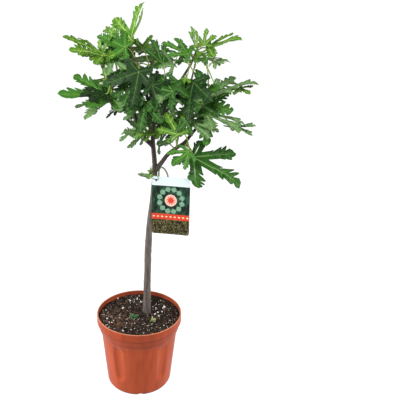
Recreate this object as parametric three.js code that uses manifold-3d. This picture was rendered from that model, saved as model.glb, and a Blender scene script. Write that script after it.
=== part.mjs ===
// A young fig tree in a round nursery pot, with its plant label tied to the trunk.
// Millimetres, +Z up. The origin is the centre of the pot's flat underside, and -Y is the side
// that the label faces. Angles are in degrees: a turn runs from +X towards +Y, a rise from level.
import * as THREE from 'three';
import { mergeVertices } from 'three/addons/utils/BufferGeometryUtils.js';
import Module from 'manifold-3d';

const wasm = await Module();
wasm.setup();

// ---------- driving sizes ----------

const SEAT_GAP = 0.3; // clear space between pieces that touch on the real plant
const SLIVER = 0.01; // edges shorter than this are closed up after a join or cut

const POT = {
  height: 186,
  lipRadius: 100,
  lipHeight: 20, // the upright band at the mouth
  collarHeight: 25, // the cone from the band down to the wall
  collarRadius: 89.8,
  footRadius: 76.7,
  footRise: 6.6, // the wall starts this far above the rounded foot
  baseRadius: 73,
  wall: 2.8,
  floor: 5,
  rimEase: 1.2, // rounding of the mouth's edge
  sides: 48,
};

const FLUTE = {
  count: 5,
  firstTurn: -90 + 2.5 + 36, // 36 to the right of the label side, which lies 2.5 off the middle
  halfWidth: 13,
  depth: 1.7,
  bulge: 4, // radial size of the rounded cutter
  low: 34,
  high: 126,
  capSteps: 3,
  sides: 12,
};

const SOIL = { top: 175, edgeDrop: 5, edgeWidth: 18, sideGap: 0.4 };

const TRUNK = {
  path: [
    [18, 18, SOIL.top + SEAT_GAP],
    [19, 15, 290],
    [22, 11, 396],
    [31, 6, 496],
    [33, 3, 548],
    [28, 0, 613],
    [29, 1, 668],
    [25, 5, 702],
  ],
  radii: [10.4, 8.4, 8.2, 7.3, 6.3, 6.1, 5.2, 4.4, 3.6],
  sides: 10,
  steps: 14,
};

const BOUGH = { sides: 7, steps: 5 };

// Each bough: the limb it leaves, its path from inside that limb to its tip, and its end radii.
const BOUGHS = {
  bough_right: {
    from: 'trunk',
    radii: [5.2, 4],
    path: [[35, 3, 545], [46, 0, 560], [61, -5, 583], [96, -18, 615]],
  },
  bough_right_upper: {
    from: 'bough_right',
    radii: [4, 2.8],
    path: [[96, -18, 615], [109, -20, 633], [133, -24, 667]],
  },
  bough_left: {
    from: 'trunk',
    radii: [5, 4],
    path: [[28, 0, 602], [13, -3, 615], [1, -8, 640], [-12, -12, 676]],
  },
  bough_left_upper: {
    from: 'bough_left',
    radii: [4, 3],
    path: [[-12, -12, 676], [-15, -14, 700], [-12, -15, 723]],
  },
  bough_leader: {
    from: 'trunk',
    radii: [3.6, 3],
    path: [[25, 5, 702], [18, 6, 722], [13, 6, 742]],
  },
  bough_crest: {
    from: 'trunk',
    radii: [3.4, 2.6],
    path: [[28, 3, 684], [49, 12, 706], [82, 20, 732]],
  },
  bough_back_left: {
    from: 'trunk',
    radii: [4, 2.8],
    path: [[28, 0, 628], [8, 36, 655], [-26, 74, 690]],
  },
  bough_back_right: {
    from: 'trunk',
    radii: [4, 2.8],
    path: [[29, 0, 648], [52, 34, 662], [92, 72, 690]],
  },
};

const STEM = { sides: 5, steps: 4, baseRadius: 3, tipRadius: 1.3 };
const STALK = { sides: 3, steps: 2, radius: 1.3, lift: 0.16, sink: 0.05 };

// One leaf blade: five lobes round the joint with the stalk. Lengths are shares of the blade's length.
const LOBES = [
  { turn: 0, reach: 1, margin: 'long' },
  { turn: 45, reach: 0.82, margin: 'long' },
  { turn: -45, reach: 0.82, margin: 'long' },
  { turn: 100, reach: 0.46, margin: 'short' },
  { turn: -100, reach: 0.46, margin: 'short' },
];
const MARGINS = {
  long: { rib: [0.42, 0.78], edge: [[0.32, 0.1], [0.52, 0.165], [0.63, 0.12], [0.85, 0.14]] },
  short: { rib: [0.6], edge: [[0.48, 0.15], [0.78, 0.17]] },
};
const BLADE = {
  sinus: { long: 0.2, short: 0.17 }, // how near the joint the notches beside a lobe come
  heel: 0.06, // the edge behind the joint
  ribHalf: 0.009, // half the thickness along the ribs
  cup: 0.2, // how far the edges rise from the ribs
  bow: 0.02, // arch of the whole blade from joint to tip
  jitter: { turn: 5, reach: 0.06 },
};

// Leaves grown by rule keep inside this egg, and keep a space of their own about the blade.
const CROWN = { centre: [45, 40, 725], reach: [170, 165, 115], clearance: 3 };

// Leaves grown by rule sit down the stem from its tip, each turned by the golden angle from the last.
const RULE = {
  goldenTurn: 137.5,
  nodeStep: 0.14, // share of the stem from one leaf to the next
  stalk: [36, 6], // length at the tip and what each lower leaf adds
  blade: [70, 7],
  rise: [62, -15],
  leastRise: -12,
  bladeDrop: 30, // how far below its stalk's rise a blade points
  sag: 0.25,
  shake: { rise: 8, roll: 12 },
  tries: [[0, 1], [28, 1], [-28, 1], [50, 0.85], [-50, 0.85], [80, 0.75], [-80, 0.75]],
};

// Each shoot: the limb it leaves, its path, the leaves set by hand and the number grown by rule.
// A leaf set by hand: [place along the stem, joint, turn, pitch, length, roll, sag, lean].
const SHOOTS = {
  foliage_top_left: {
    from: 'bough_leader',
    path: [[13, 6, 742], [-6, 0, 777], [-18, -3, 806]],
    set: [
      [1, [-18, -8, 820], 62, 56, 82, -25, -0.6, 0],
      [0.5, [-81, -35, 792], 171, 31, 76, -12, 0, -6],
      [0.7, [-28, 14, 799], 153, -30, 62, -10, 0.3, 0],
      [0.05, [-19, -48, 740], -135, -46, 57, -38, 0.1, 0],
    ],
    grown: 3,
    turn: 60,
  },
  foliage_left: {
    from: 'bough_left_upper',
    path: [[-12, -15, 723], [-42, -28, 737], [-66, -36, 746]],
    set: [
      [0.9, [-64, -55, 719], 167, 0, 100, -36, -0.5, -17],
      [1, [-70, 8, 788], -30, 73, 74, 52, 0.2, 0],
      [0.8, [-67, -42, 710], -116, -14, 97, 5, 0.1, 0],
      [0.45, [-28, -28, 689], -166, -20, 56, 30, 0.4, 0],
    ],
    grown: 2,
    turn: 100,
  },
  foliage_low_left: {
    from: 'bough_left',
    path: [[8, -5, 622], [-2, -14, 629]],
    set: [
      [1, [-5, -24, 633], -129, 5, 58, -70, 0.1, 0],
    ],
    grown: 0,
    turn: 0,
  },
  foliage_front: {
    from: 'trunk',
    path: [[28, 0, 655], [34, -22, 684], [36, -36, 708]],
    set: [
      [1, [64, -50, 728], -144, 20, 66, -60, 0.2, 0],
      [0.6, [21, -45, 704], -109, -50, 58, 0, 0.3, 0],
      [0.4, [62, -18, 719], -117, -60, 58, 0, 0.2, 0],
    ],
    grown: 2,
    turn: -150,
  },
  foliage_low_centre: {
    from: 'bough_right',
    path: [[74, -10, 592], [78, -26, 606]],
    set: [
      [1, [67, -66, 646], -124, 75, 58, -110, 0.8, 26],
    ],
    grown: 1,
    turn: 200,
  },
  foliage_low_right: {
    from: 'bough_right',
    path: [[94, -17, 613], [104, -36, 606]],
    set: [
      [1, [112, -56, 600], -32, -20, 127, 11, 0, 0],
    ],
    grown: 1,
    turn: 110,
  },
  foliage_right: {
    from: 'bough_right_upper',
    path: [[133, -24, 667], [141, -26, 686], [142, -28, 704]],
    set: [
      [1, [138, -42, 713], -10, 19, 98, 7, -0.2, 6],
      [0.7, [145, -47, 679], 14, -16, 119, 18, -0.1, -6],
      [0.2, [125, -34, 655], -51, -28, 52, 0, 0.3, 0],
      [0.5, [107, -40, 739], -109, -65, 72, 31, 0.2, 0],
      [0.9, [150, 0, 773], -25, 25, 46, 0, 0.3, 0],
      [0.8, [130, 8, 783], -45, 24, 40, 0, 0.3, 0],
      [0.95, [135, -30, 713], 120, 50, 65, 2, -0.4, 11],
      [0.3, [133, -8, 710], -108, -70, 66, 0, 0.2, 0],
    ],
    grown: 1,
    turn: 60,
  },
  foliage_top_right: {
    from: 'bough_crest',
    path: [[82, 20, 732], [104, 16, 770], [122, 12, 816]],
    set: [
      [0.8, [139, 4, 806], -33, 19, 79, 22, 0.2, 12],
      [1, [119, 8, 819], 164, 61, 35, -38, 0.3, -9],
      [0.5, [97, -10, 793], 180, 26, 48, -41, -0.2, 5],
      [0.95, [131, 14, 822], 46, 66, 30, 0, 0.2, 0],
    ],
    grown: 2,
    turn: 70,
  },
  foliage_top_centre: {
    from: 'bough_crest',
    path: [[50, 12, 707], [60, 4, 724], [62, -4, 744]],
    set: [
      [1, [40, -30, 769], 134, 73, 68, 4, 0.2, 0],
      [1, [52, -10, 777], -125, 60, 42, 0, 0.3, 0],
    ],
    grown: 1,
    turn: 150,
  },
  foliage_back_left: {
    from: 'bough_back_left',
    path: [[-26, 74, 690], [-44, 98, 722], [-54, 112, 758]],
    set: [],
    grown: 7,
    turn: 120,
  },
  foliage_back_right: {
    from: 'bough_back_right',
    path: [[92, 72, 690], [112, 98, 716], [122, 112, 750]],
    set: [],
    grown: 7,
    turn: 20,
  },
  foliage_back_top: {
    from: 'bough_leader',
    path: [[18, 6, 722], [26, 42, 762], [34, 56, 806]],
    set: [
      [0.5, [3, 44, 770], -164, -45, 64, 0, 0.2, 0],
      [0.8, [-32, 24, 783], -159, -28, 58, 0, 0.2, 0],
    ],
    grown: 5,
    turn: 80,
  },
  foliage_back_low: {
    from: 'bough_back_left',
    path: [[12, 30, 651], [26, 66, 650], [36, 84, 662]],
    set: [
      [1, [38, 104, 668], 95, -25, 84, 0, 0.2, 0],
      [0.6, [60, 84, 646], 10, -35, 72, 0, 0.2, 0],
      [0.6, [0, 88, 646], 170, -35, 72, 0, 0.2, 0],
    ],
    grown: 0,
    turn: 0,
  },
  foliage_sprig: {
    from: 'trunk',
    path: [[32, 4, 535], [24, 1, 540]],
    set: [
      [1, [19, 0, 541], -159, -5, 27, 0, 0.2, 0],
    ],
    grown: 0,
    turn: 0,
  },
};

const LABEL = {
  width: 85,
  height: 132,
  thickness: 1,
  corner: 5,
  topLeft: [27.6, -4, 535], // the plate's upper left corner
  turn: -16, // the right edge stands nearer the label side
  tilt: -3,
  holeRadius: 3,
  holeIn: [10, 8.5], // from the upper left corner, across and down
  segments: 4,
};

const TIE = { ringRadius: 9.6, wireRadius: 0.7, centre: [33, 1.7, 527], sides: 5, segments: 20 };

// ---------- small helpers ----------

const radians = THREE.MathUtils.degToRad;

// Every leaf has a whole number as its seed, and each of its chance values has a stream of its own.
const SEEDS = { perShoot: 20, firstGrown: 10 };
const STREAM = { rise: 3, roll: 5, reach: 9 };

const vector = (point) => new THREE.Vector3(...point);

// A repeatable number from -1 to 1 for a pair of whole numbers.
function wobble(first, second) {
  const mixed = Math.sin(first * 12.9898 + second * 78.233) * 43758.5453;
  return 2 * (mixed - Math.floor(mixed)) - 1;
}

// The unit vector that points along a turn and a rise.
function heading(turn, rise) {
  const level = Math.cos(radians(rise));
  return new THREE.Vector3(
    level * Math.cos(radians(turn)),
    level * Math.sin(radians(turn)),
    Math.sin(radians(rise)),
  );
}

// A closed mesh becomes a solid that can be joined and cut.
function solidOf(geometry) {
  const bare = geometry.clone();
  bare.deleteAttribute('normal');
  bare.deleteAttribute('uv');
  const merged = mergeVertices(bare, 1e-4);
  return new wasm.Manifold(new wasm.Mesh({
    numProp: 3,
    vertProperties: new Float32Array(merged.attributes.position.array),
    triVerts: new Uint32Array(merged.index.array),
  }));
}

// A solid becomes a mesh geometry again, without the slivers that joins and cuts leave.
function geometryOf(solid) {
  const mesh = solid.simplify(SLIVER).getMesh();
  const geometry = new THREE.BufferGeometry();
  geometry.setAttribute('position', new THREE.BufferAttribute(new Float32Array(mesh.vertProperties), 3));
  geometry.setIndex(new THREE.BufferAttribute(new Uint32Array(mesh.triVerts), 1));
  geometry.computeVertexNormals();
  return geometry;
}

const joined = (solids) => solids.reduce((whole, piece) => whole.add(piece));

// The piece of a cut solid that holds most of it.
function largestPiece(solid) {
  return solid.decompose().reduce((best, piece) => (piece.volume() > best.volume() ? piece : best));
}

// A round limb along a curve, made from a straight cylinder: each ring is moved to its place on the
// curve. Its radii are spread evenly from foot to tip, and swell makes it that much larger all over.
function limb(curve, radii, sides, steps, swell = 0) {
  const cylinder = new THREE.CylinderGeometry(1, 1, 1, sides, steps);
  const frames = curve.computeFrenetFrames(steps, false);
  const spots = cylinder.attributes.position;
  for (let i = 0; i < spots.count; i += 1) {
    const along = spots.getY(i) + 0.5;
    const ring = Math.round(along * steps);
    const between = along * (radii.length - 1);
    const below = Math.min(Math.floor(between), radii.length - 2);
    const radius = THREE.MathUtils.lerp(radii[below], radii[below + 1], between - below) + swell;
    const end = (ring === 0 ? -swell : 0) + (ring === steps ? swell : 0);
    const spot = curve.getPointAt(along)
      .addScaledVector(frames.normals[ring], spots.getX(i) * radius)
      .addScaledVector(frames.binormals[ring], -spots.getZ(i) * radius)
      .addScaledVector(frames.tangents[ring], end);
    spots.setXYZ(i, spot.x, spot.y, spot.z);
  }
  return cylinder;
}

const curveThrough = (points) => new THREE.CatmullRomCurve3(points.map(vector), false, 'centripetal');

// ---------- pot and soil ----------

// The pot's wall from foot to mouth as [radius, height], on a line this far inside the outer face.
function potWall(inset) {
  const collarFoot = POT.height - POT.lipHeight - POT.collarHeight;
  return [
    [POT.footRadius - inset, POT.footRise],
    [POT.collarRadius - inset, collarFoot],
    [POT.lipRadius - inset, POT.height - POT.lipHeight],
  ];
}

function potSolid() {
  const ease = POT.rimEase;
  const innerLip = POT.lipRadius - POT.wall;
  const profile = [
    [0, 0],
    [POT.baseRadius, 0],
    ...potWall(0),
    [POT.lipRadius, POT.height - ease],
    [POT.lipRadius - ease, POT.height],
    [innerLip, POT.height],
    ...potWall(POT.wall).reverse(),
    [POT.baseRadius - POT.wall, POT.floor],
    [0, POT.floor],
  ].map(([radius, height]) => new THREE.Vector2(radius, height));
  const shell = solidOf(new THREE.LatheGeometry(profile, POT.sides).rotateX(Math.PI / 2));
  return fluteCutters().reduce((pot, cutter) => pot.subtract(cutter), shell);
}

// One rounded cutter for each flute, laid along the sloping wall.
function fluteCutters() {
  const [foot, collar] = potWall(0);
  const slope = (collar[0] - foot[0]) / (collar[1] - foot[1]);
  const length = FLUTE.high - FLUTE.low - 2 * FLUTE.halfWidth;
  const middle = (FLUTE.high + FLUTE.low) / 2;
  const wallRadius = foot[0] + slope * (middle - foot[1]);
  const cutters = [];
  for (let i = 0; i < FLUTE.count; i += 1) {
    const capsule = new THREE.CapsuleGeometry(FLUTE.halfWidth, length, FLUTE.capSteps, FLUTE.sides);
    capsule.scale(FLUTE.bulge / FLUTE.halfWidth, 1, 1);
    capsule.rotateX(Math.PI / 2);
    capsule.rotateY(Math.atan(slope));
    capsule.translate(wallRadius + FLUTE.bulge - FLUTE.depth, 0, middle);
    capsule.rotateZ(radians(FLUTE.firstTurn + (360 / FLUTE.count) * i));
    cutters.push(solidOf(capsule));
  }
  return cutters;
}

function soilSolid() {
  const [foot, collar, lip] = potWall(POT.wall + SOIL.sideGap);
  const edgeTop = SOIL.top - SOIL.edgeDrop;
  const profile = [
    [0, POT.floor + SEAT_GAP],
    [POT.baseRadius - POT.wall - 2 * SEAT_GAP, POT.floor + SEAT_GAP],
    [foot[0] - SEAT_GAP, foot[1] + SEAT_GAP],
    collar,
    lip,
    [lip[0], edgeTop],
    [lip[0] - SOIL.edgeWidth, SOIL.top],
    [0, SOIL.top],
  ].map(([radius, height]) => new THREE.Vector2(radius, height));
  return solidOf(new THREE.LatheGeometry(profile, POT.sides).rotateX(Math.PI / 2));
}

// ---------- trunk and boughs ----------

// Every limb that others leave, as its curve and the solid that they are cut clear of.
const limbs = {};

function growLimb(name, path, radii, sides, steps) {
  const curve = curveThrough(path);
  limbs[name] = { curve, keepOff: solidOf(limb(curve, radii, sides, steps, SEAT_GAP)) };
  return solidOf(limb(curve, radii, sides, steps));
}

function boughSolid(name) {
  const bough = BOUGHS[name];
  const whole = growLimb(name, bough.path, bough.radii, BOUGH.sides, BOUGH.steps);
  return largestPiece(whole.subtract(limbs[bough.from].keepOff));
}

// ---------- leaves ----------

// The three directions of a blade: along its middle rib, to its left, and out of its upper face.
function bladeAxes(turn, pitch, roll) {
  const along = heading(turn, pitch);
  const face = heading(turn, pitch + 90).applyAxisAngle(along, radians(roll));
  const left = new THREE.Vector3().crossVectors(face, along);
  return { along, left, face };
}

// The lobes of one leaf, each with its own turn and length.
function lobesOf(leaf) {
  return LOBES.map(({ turn, reach, margin }, i) => {
    const swing = i === 0 ? 0 : Math.sign(turn) * leaf.lean + BLADE.jitter.turn * wobble(leaf.seed, i);
    const stretch = i === 0 ? 1 : 1 + BLADE.jitter.reach * wobble(leaf.seed, i + STREAM.reach);
    return { margin, turn: radians(turn + swing), length: leaf.length * reach * stretch };
  });
}

// An empty blade, and the ways to lay down its corners and its upper and lower triangles.
function startBlade(leaf, ribHalf) {
  const { along, left, face } = bladeAxes(leaf.turn, leaf.pitch, leaf.roll);
  const spots = [];
  const triangles = [];
  // A corner x along the middle rib and y to the left. It is split in two where the blade is thick.
  const corner = (x, y, rise, thick) => {
    const away = Math.hypot(x, y) / leaf.length;
    const arch = 4 * BLADE.bow * leaf.length * away * (1 - away);
    const height = rise + arch - (leaf.sag * y * y) / leaf.length;
    const spot = leaf.joint.clone().addScaledVector(along, x).addScaledVector(left, y);
    const upper = spots.length / 3;
    const levels = thick ? [height + ribHalf, height - ribHalf] : [height];
    levels.forEach((level) => spots.push(...spot.clone().addScaledVector(face, level).toArray()));
    return { upper, lower: upper + levels.length - 1 };
  };
  // Corners run anticlockwise seen from above on the left side of a rib, clockwise on its right.
  const cover = (side, a, b, c) => {
    const [second, third] = side > 0 ? [b, c] : [c, b];
    triangles.push(a.upper, second.upper, third.upper, a.lower, third.lower, second.lower);
  };
  return { spots, triangles, corner, cover };
}

// One lobe, laid from its rib out to the edge on either side. It starts at the joint and at the
// notches that bound it, and ends in a blunt tip.
function layLobe(blade, lobe, joint, notches) {
  const { rib, edge } = MARGINS[lobe.margin];
  const cos = Math.cos(lobe.turn);
  const sin = Math.sin(lobe.turn);
  const spot = (share, half, thick) => {
    const x = share * lobe.length;
    const y = half * lobe.length;
    return blade.corner(x * cos - y * sin, x * sin + y * cos, BLADE.cup * Math.abs(y), thick);
  };
  const ribs = [joint, ...rib.map((share) => spot(share, 0, true)), spot(1, 0, false)];
  const shares = [0, ...rib];
  for (const side of [-1, 1]) {
    let onEdge = side < 0 ? notches.right : notches.left;
    let onRib = 0;
    const stepAlongRib = () => {
      blade.cover(side, ribs[onRib], ribs[onRib + 1], onEdge);
      onRib += 1;
    };
    for (const [share, half] of edge) {
      const next = spot(share, side * half, false);
      blade.cover(side, ribs[onRib], next, onEdge);
      onEdge = next;
      // The rib's next corner takes over once the edge has come level with it.
      if (onRib < rib.length && share > (shares[onRib] + shares[onRib + 1]) / 2) stepAlongRib();
    }
    while (onRib <= rib.length) stepAlongRib();
  }
}

// A leaf blade as a thin lens: the ribs have thickness, and the outline is a sharp edge all round.
function bladeGeometry(leaf, ribHalf = BLADE.ribHalf * leaf.length) {
  const blade = startBlade(leaf, ribHalf);
  const [mid, leftSide, rightSide, leftBase, rightBase] = lobesOf(leaf);
  const joint = blade.corner(0, 0, 0, true);
  const heel = blade.corner(-BLADE.heel * leaf.length, 0, 0, false);
  // The notch between two lobes lies half way between their directions.
  const notch = (one, other) => {
    const middle = (one.turn + other.turn) / 2;
    const reach = BLADE.sinus[other.margin] * leaf.length;
    return blade.corner(reach * Math.cos(middle), reach * Math.sin(middle), 0, false);
  };
  const innerLeft = notch(mid, leftSide);
  const innerRight = notch(mid, rightSide);
  const outerLeft = notch(leftSide, leftBase);
  const outerRight = notch(rightSide, rightBase);
  layLobe(blade, mid, joint, { right: innerRight, left: innerLeft });
  layLobe(blade, leftSide, joint, { right: innerLeft, left: outerLeft });
  layLobe(blade, rightSide, joint, { right: outerRight, left: innerRight });
  layLobe(blade, leftBase, joint, { right: outerLeft, left: heel });
  layLobe(blade, rightBase, joint, { right: heel, left: outerRight });
  const geometry = new THREE.BufferGeometry();
  geometry.setAttribute('position', new THREE.BufferAttribute(new Float32Array(blade.spots), 3));
  geometry.setIndex(blade.triangles);
  return geometry;
}

// The stalk from its node on the stem, lifted a little in the middle, with its end sunk in the blade.
function stalkSolid(node, leaf) {
  const middle = node.clone().lerp(leaf.joint, 0.5);
  middle.z += STALK.lift * node.distanceTo(leaf.joint);
  const end = leaf.joint.clone().addScaledVector(heading(leaf.turn, leaf.pitch), STALK.sink * leaf.length);
  const curve = new THREE.CatmullRomCurve3([node, middle, leaf.joint, end], false, 'centripetal');
  return solidOf(limb(curve, [STALK.radius, STALK.radius], STALK.sides, STALK.steps));
}

function leafSolids(stem, leaf) {
  const node = stem.getPointAt(leaf.place);
  return { blade: solidOf(bladeGeometry(leaf)), stalk: stalkSolid(node, leaf) };
}

// A leaf set by hand, read from its row.
function setLeaf([place, joint, turn, pitch, length, roll, sag, lean], seed) {
  return { place, joint: vector(joint), turn, pitch, length, roll, sag, lean, seed };
}

// A leaf grown by rule: the k-th down the stem, on its given try.
function grownLeaf(shoot, stem, k, [swing, size], seed) {
  const place = 1 - RULE.nodeStep * k;
  const turn = shoot.turn + RULE.goldenTurn * k + swing;
  const rise = Math.max(RULE.rise[0] + RULE.rise[1] * k, RULE.leastRise)
    + RULE.shake.rise * wobble(seed, STREAM.rise);
  const stalk = (RULE.stalk[0] + RULE.stalk[1] * k) * size;
  const length = (RULE.blade[0] + RULE.blade[1] * k) * size;
  const joint = stem.getPointAt(place).addScaledVector(heading(turn, rise), stalk);
  const pitch = rise - RULE.bladeDrop;
  const roll = RULE.shake.roll * wobble(seed, STREAM.roll);
  return { place, joint, turn, pitch, length, roll, sag: RULE.sag, lean: 0, seed };
}

// ---------- shoots ----------

const overlaps = (one, other) => one.intersect(other).volume() > 0;

// Grows the leaves of all shoots: first those set by hand, then the others where there is room.
function growLeaves(stems, barriers) {
  const placed = [];
  const names = Object.keys(SHOOTS);
  const seedOf = (name, k) => SEEDS.perShoot * names.indexOf(name) + k;
  for (const name of names) {
    SHOOTS[name].set.forEach((row, k) => {
      const leaf = setLeaf(row, seedOf(name, k));
      placed.push({ name, ...leafSolids(stems[name].curve, leaf) });
    });
  }
  for (const name of names) {
    const shoot = SHOOTS[name];
    for (let k = 0; k < shoot.grown; k += 1) {
      const seed = seedOf(name, SEEDS.firstGrown + k);
      for (const chance of RULE.tries) {
        const leaf = grownLeaf(shoot, stems[name].curve, k, chance, seed);
        if (hasRoom(name, leaf, stems, placed, barriers)) {
          placed.push({ name, ...leafSolids(stems[name].curve, leaf) });
          break;
        }
      }
    }
  }
  return placed;
}

function insideCrown(geometry) {
  const spots = geometry.attributes.position;
  const centre = vector(CROWN.centre);
  const reach = vector(CROWN.reach);
  const spot = new THREE.Vector3();
  for (let i = 0; i < spots.count; i += 1) {
    if (spot.fromBufferAttribute(spots, i).sub(centre).divide(reach).length() > 1) return false;
  }
  return true;
}

// True where a leaf and its stalk keep clear of every limb, stem and leaf already there.
function hasRoom(name, leaf, stems, placed, barriers) {
  const space = bladeGeometry(leaf, CROWN.clearance);
  if (!insideCrown(space)) return false;
  const blade = solidOf(space);
  const { stalk } = leafSolids(stems[name].curve, leaf);
  if (barriers.some((barrier) => overlaps(barrier, blade))) return false;
  const foreign = Object.keys(stems).filter((other) => other !== name).map((other) => stems[other].solid);
  if (foreign.some((stem) => overlaps(stem, blade) || overlaps(stem, stalk))) return false;
  if (overlaps(stems[name].solid, blade)) return false;
  return placed.every((other) => !overlaps(other.blade, blade)
    && !overlaps(other.stalk, blade)
    && !overlaps(other.blade, stalk)
    && (other.name === name || !overlaps(other.stalk, stalk)));
}

// ---------- label and its tie ----------

function labelPlacement() {
  const [x, y, z] = LABEL.topLeft;
  return new THREE.Matrix4().makeTranslation(x, y, z)
    .multiply(new THREE.Matrix4().makeRotationZ(radians(LABEL.turn)))
    .multiply(new THREE.Matrix4().makeRotationY(radians(-LABEL.tilt)));
}

// A flat card with rounded corners and one punched hole, drawn from its upper left corner.
function labelSolid() {
  const { width, height, corner, thickness, holeRadius, holeIn } = LABEL;
  const card = new THREE.Shape();
  card.moveTo(corner, 0);
  card.absarc(corner, -corner, corner, Math.PI / 2, Math.PI, false);
  card.absarc(corner, corner - height, corner, Math.PI, 1.5 * Math.PI, false);
  card.absarc(width - corner, corner - height, corner, 1.5 * Math.PI, 2 * Math.PI, false);
  card.absarc(width - corner, -corner, corner, 0, Math.PI / 2, false);
  card.holes.push(new THREE.Path().absarc(holeIn[0], -holeIn[1], holeRadius, 0, 2 * Math.PI, true));
  const plate = new THREE.ExtrudeGeometry(card, {
    depth: thickness, bevelEnabled: false, curveSegments: LABEL.segments,
  });
  plate.rotateX(Math.PI / 2);
  return solidOf(plate.applyMatrix4(labelPlacement()));
}

function tieSolid() {
  const ring = new THREE.TorusGeometry(TIE.ringRadius, TIE.wireRadius, TIE.sides, TIE.segments);
  return solidOf(ring.translate(...TIE.centre));
}

// ---------- the whole plant ----------

const FINISH = {
  pot: { color: 0xb5533a, roughness: 0.45 },
  soil: { color: 0x2a211c, roughness: 1 },
  bark: { color: 0x5f544c, roughness: 0.85 },
  leaf: { color: 0x3f7f26, roughness: 0.6 },
  label: { color: 0xd9e6ea, roughness: 0.35 },
  tie: { color: 0x59604f, roughness: 0.5 },
};

const plant = new THREE.Group();

function addPiece(name, solid, finish) {
  const material = new THREE.MeshStandardMaterial({ ...FINISH[finish], metalness: 0 });
  const piece = new THREE.Mesh(geometryOf(solid), material);
  piece.name = name;
  plant.add(piece);
}

addPiece('pot', potSolid(), 'pot');
addPiece('soil', soilSolid(), 'soil');
addPiece('trunk', growLimb('trunk', TRUNK.path, TRUNK.radii, TRUNK.sides, TRUNK.steps), 'bark');
for (const name of Object.keys(BOUGHS)) {
  addPiece(name, boughSolid(name), 'bark');
}

const label = labelSolid();
const barriers = [label, ...Object.values(limbs).map((part) => part.keepOff)];
const stems = {};
for (const [name, shoot] of Object.entries(SHOOTS)) {
  const curve = curveThrough(shoot.path);
  const stem = limb(curve, [STEM.baseRadius, STEM.tipRadius], STEM.sides, STEM.steps);
  stems[name] = { curve, solid: solidOf(stem) };
}
const leaves = growLeaves(stems, barriers);
for (const [name, shoot] of Object.entries(SHOOTS)) {
  const own = leaves.filter((leaf) => leaf.name === name).flatMap((leaf) => [leaf.stalk, leaf.blade]);
  const mass = joined([stems[name].solid, ...own]);
  addPiece(name, largestPiece(mass.subtract(limbs[shoot.from].keepOff)), 'leaf');
}
addPiece('label', label, 'label');
addPiece('label_tie', tieSolid(), 'tie');

export default plant;
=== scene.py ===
"""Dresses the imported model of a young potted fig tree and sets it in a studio.

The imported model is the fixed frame, and every piece here is built round it. Sizes are in millimetres
until a surface becomes a Blender piece, which is in metres. A turn runs in degrees from +X towards +Y,
a rise in degrees from level, and the side that the label faces is -Y.
"""

import logging
import math
from dataclasses import dataclass, field
from enum import Enum
from typing import Callable, Sequence

import bpy
import numpy as np
from mathutils import Matrix, Vector


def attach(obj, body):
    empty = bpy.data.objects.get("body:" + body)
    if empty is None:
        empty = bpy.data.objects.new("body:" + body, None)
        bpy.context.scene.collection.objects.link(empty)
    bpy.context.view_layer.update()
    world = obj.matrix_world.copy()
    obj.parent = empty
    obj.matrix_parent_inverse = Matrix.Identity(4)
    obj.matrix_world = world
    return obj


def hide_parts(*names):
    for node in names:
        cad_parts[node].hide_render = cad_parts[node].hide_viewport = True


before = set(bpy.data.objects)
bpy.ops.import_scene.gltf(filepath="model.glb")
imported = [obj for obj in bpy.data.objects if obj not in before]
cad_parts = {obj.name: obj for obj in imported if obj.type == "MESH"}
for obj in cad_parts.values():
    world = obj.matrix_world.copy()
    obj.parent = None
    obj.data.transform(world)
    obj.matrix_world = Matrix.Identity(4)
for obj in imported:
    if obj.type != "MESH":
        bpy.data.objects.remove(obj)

log = logging.getLogger("fig_tree")

MM = 0.001
BODY = "root"

# What wobble multiplies its two numbers and their sine by.
MIX = (12.9898, 78.233, 43758.5453)
# The turn in degrees from one leaf of a stem to the next.
GOLDEN = 137.5

Pair = tuple[float, float]
Triple = tuple[float, float, float]
# A colour on screen, as six hex digits.
Colour = str
Material = bpy.types.Material
Chance = np.random.Generator


# ---------- small maths ----------


def circle(count: int) -> np.ndarray:
    """Evenly spread angles of one full turn, in radians."""
    return np.linspace(0, 2 * np.pi, count, endpoint=False)


def wobble(first: np.ndarray | float, second: np.ndarray | float) -> np.ndarray | float:
    """Repeatable numbers from -1 to 1 for pairs of whole numbers.

    Formula: 2 frac(c sin(a first + b second)) - 1, with the large factors of MIX.

    Args:
        first: the first number of each pair.
        second: the second number of each pair.

    Returns:
        One number for each pair.
    """
    mixed = np.sin(first * MIX[0] + second * MIX[1]) * MIX[2]
    return 2 * (mixed - np.floor(mixed)) - 1


def heading(turn: np.ndarray | float, rise: np.ndarray | float) -> np.ndarray:
    """Unit vectors that point along a turn and a rise.

    Args:
        turn: degrees from +X towards +Y.
        rise: degrees above level.

    Returns:
        The vectors, with their three parts along the last axis.
    """
    turn, rise = np.radians(turn), np.radians(rise)
    return np.stack([np.cos(rise) * np.cos(turn), np.cos(rise) * np.sin(turn), np.sin(rise)], -1)


def unit(vectors: np.ndarray) -> np.ndarray:
    """The vectors at length one."""
    return vectors / np.maximum(np.linalg.norm(vectors, axis=-1, keepdims=True), 1e-12)


def ease(value: np.ndarray, low: float = 0.0, high: float = 1.0) -> np.ndarray:
    """A smooth step: 0 below low, 1 above high, and 3t^2 - 2t^3 between."""
    t = np.clip((value - low) / (high - low), 0, 1)
    return t * t * (3 - 2 * t)


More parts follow.
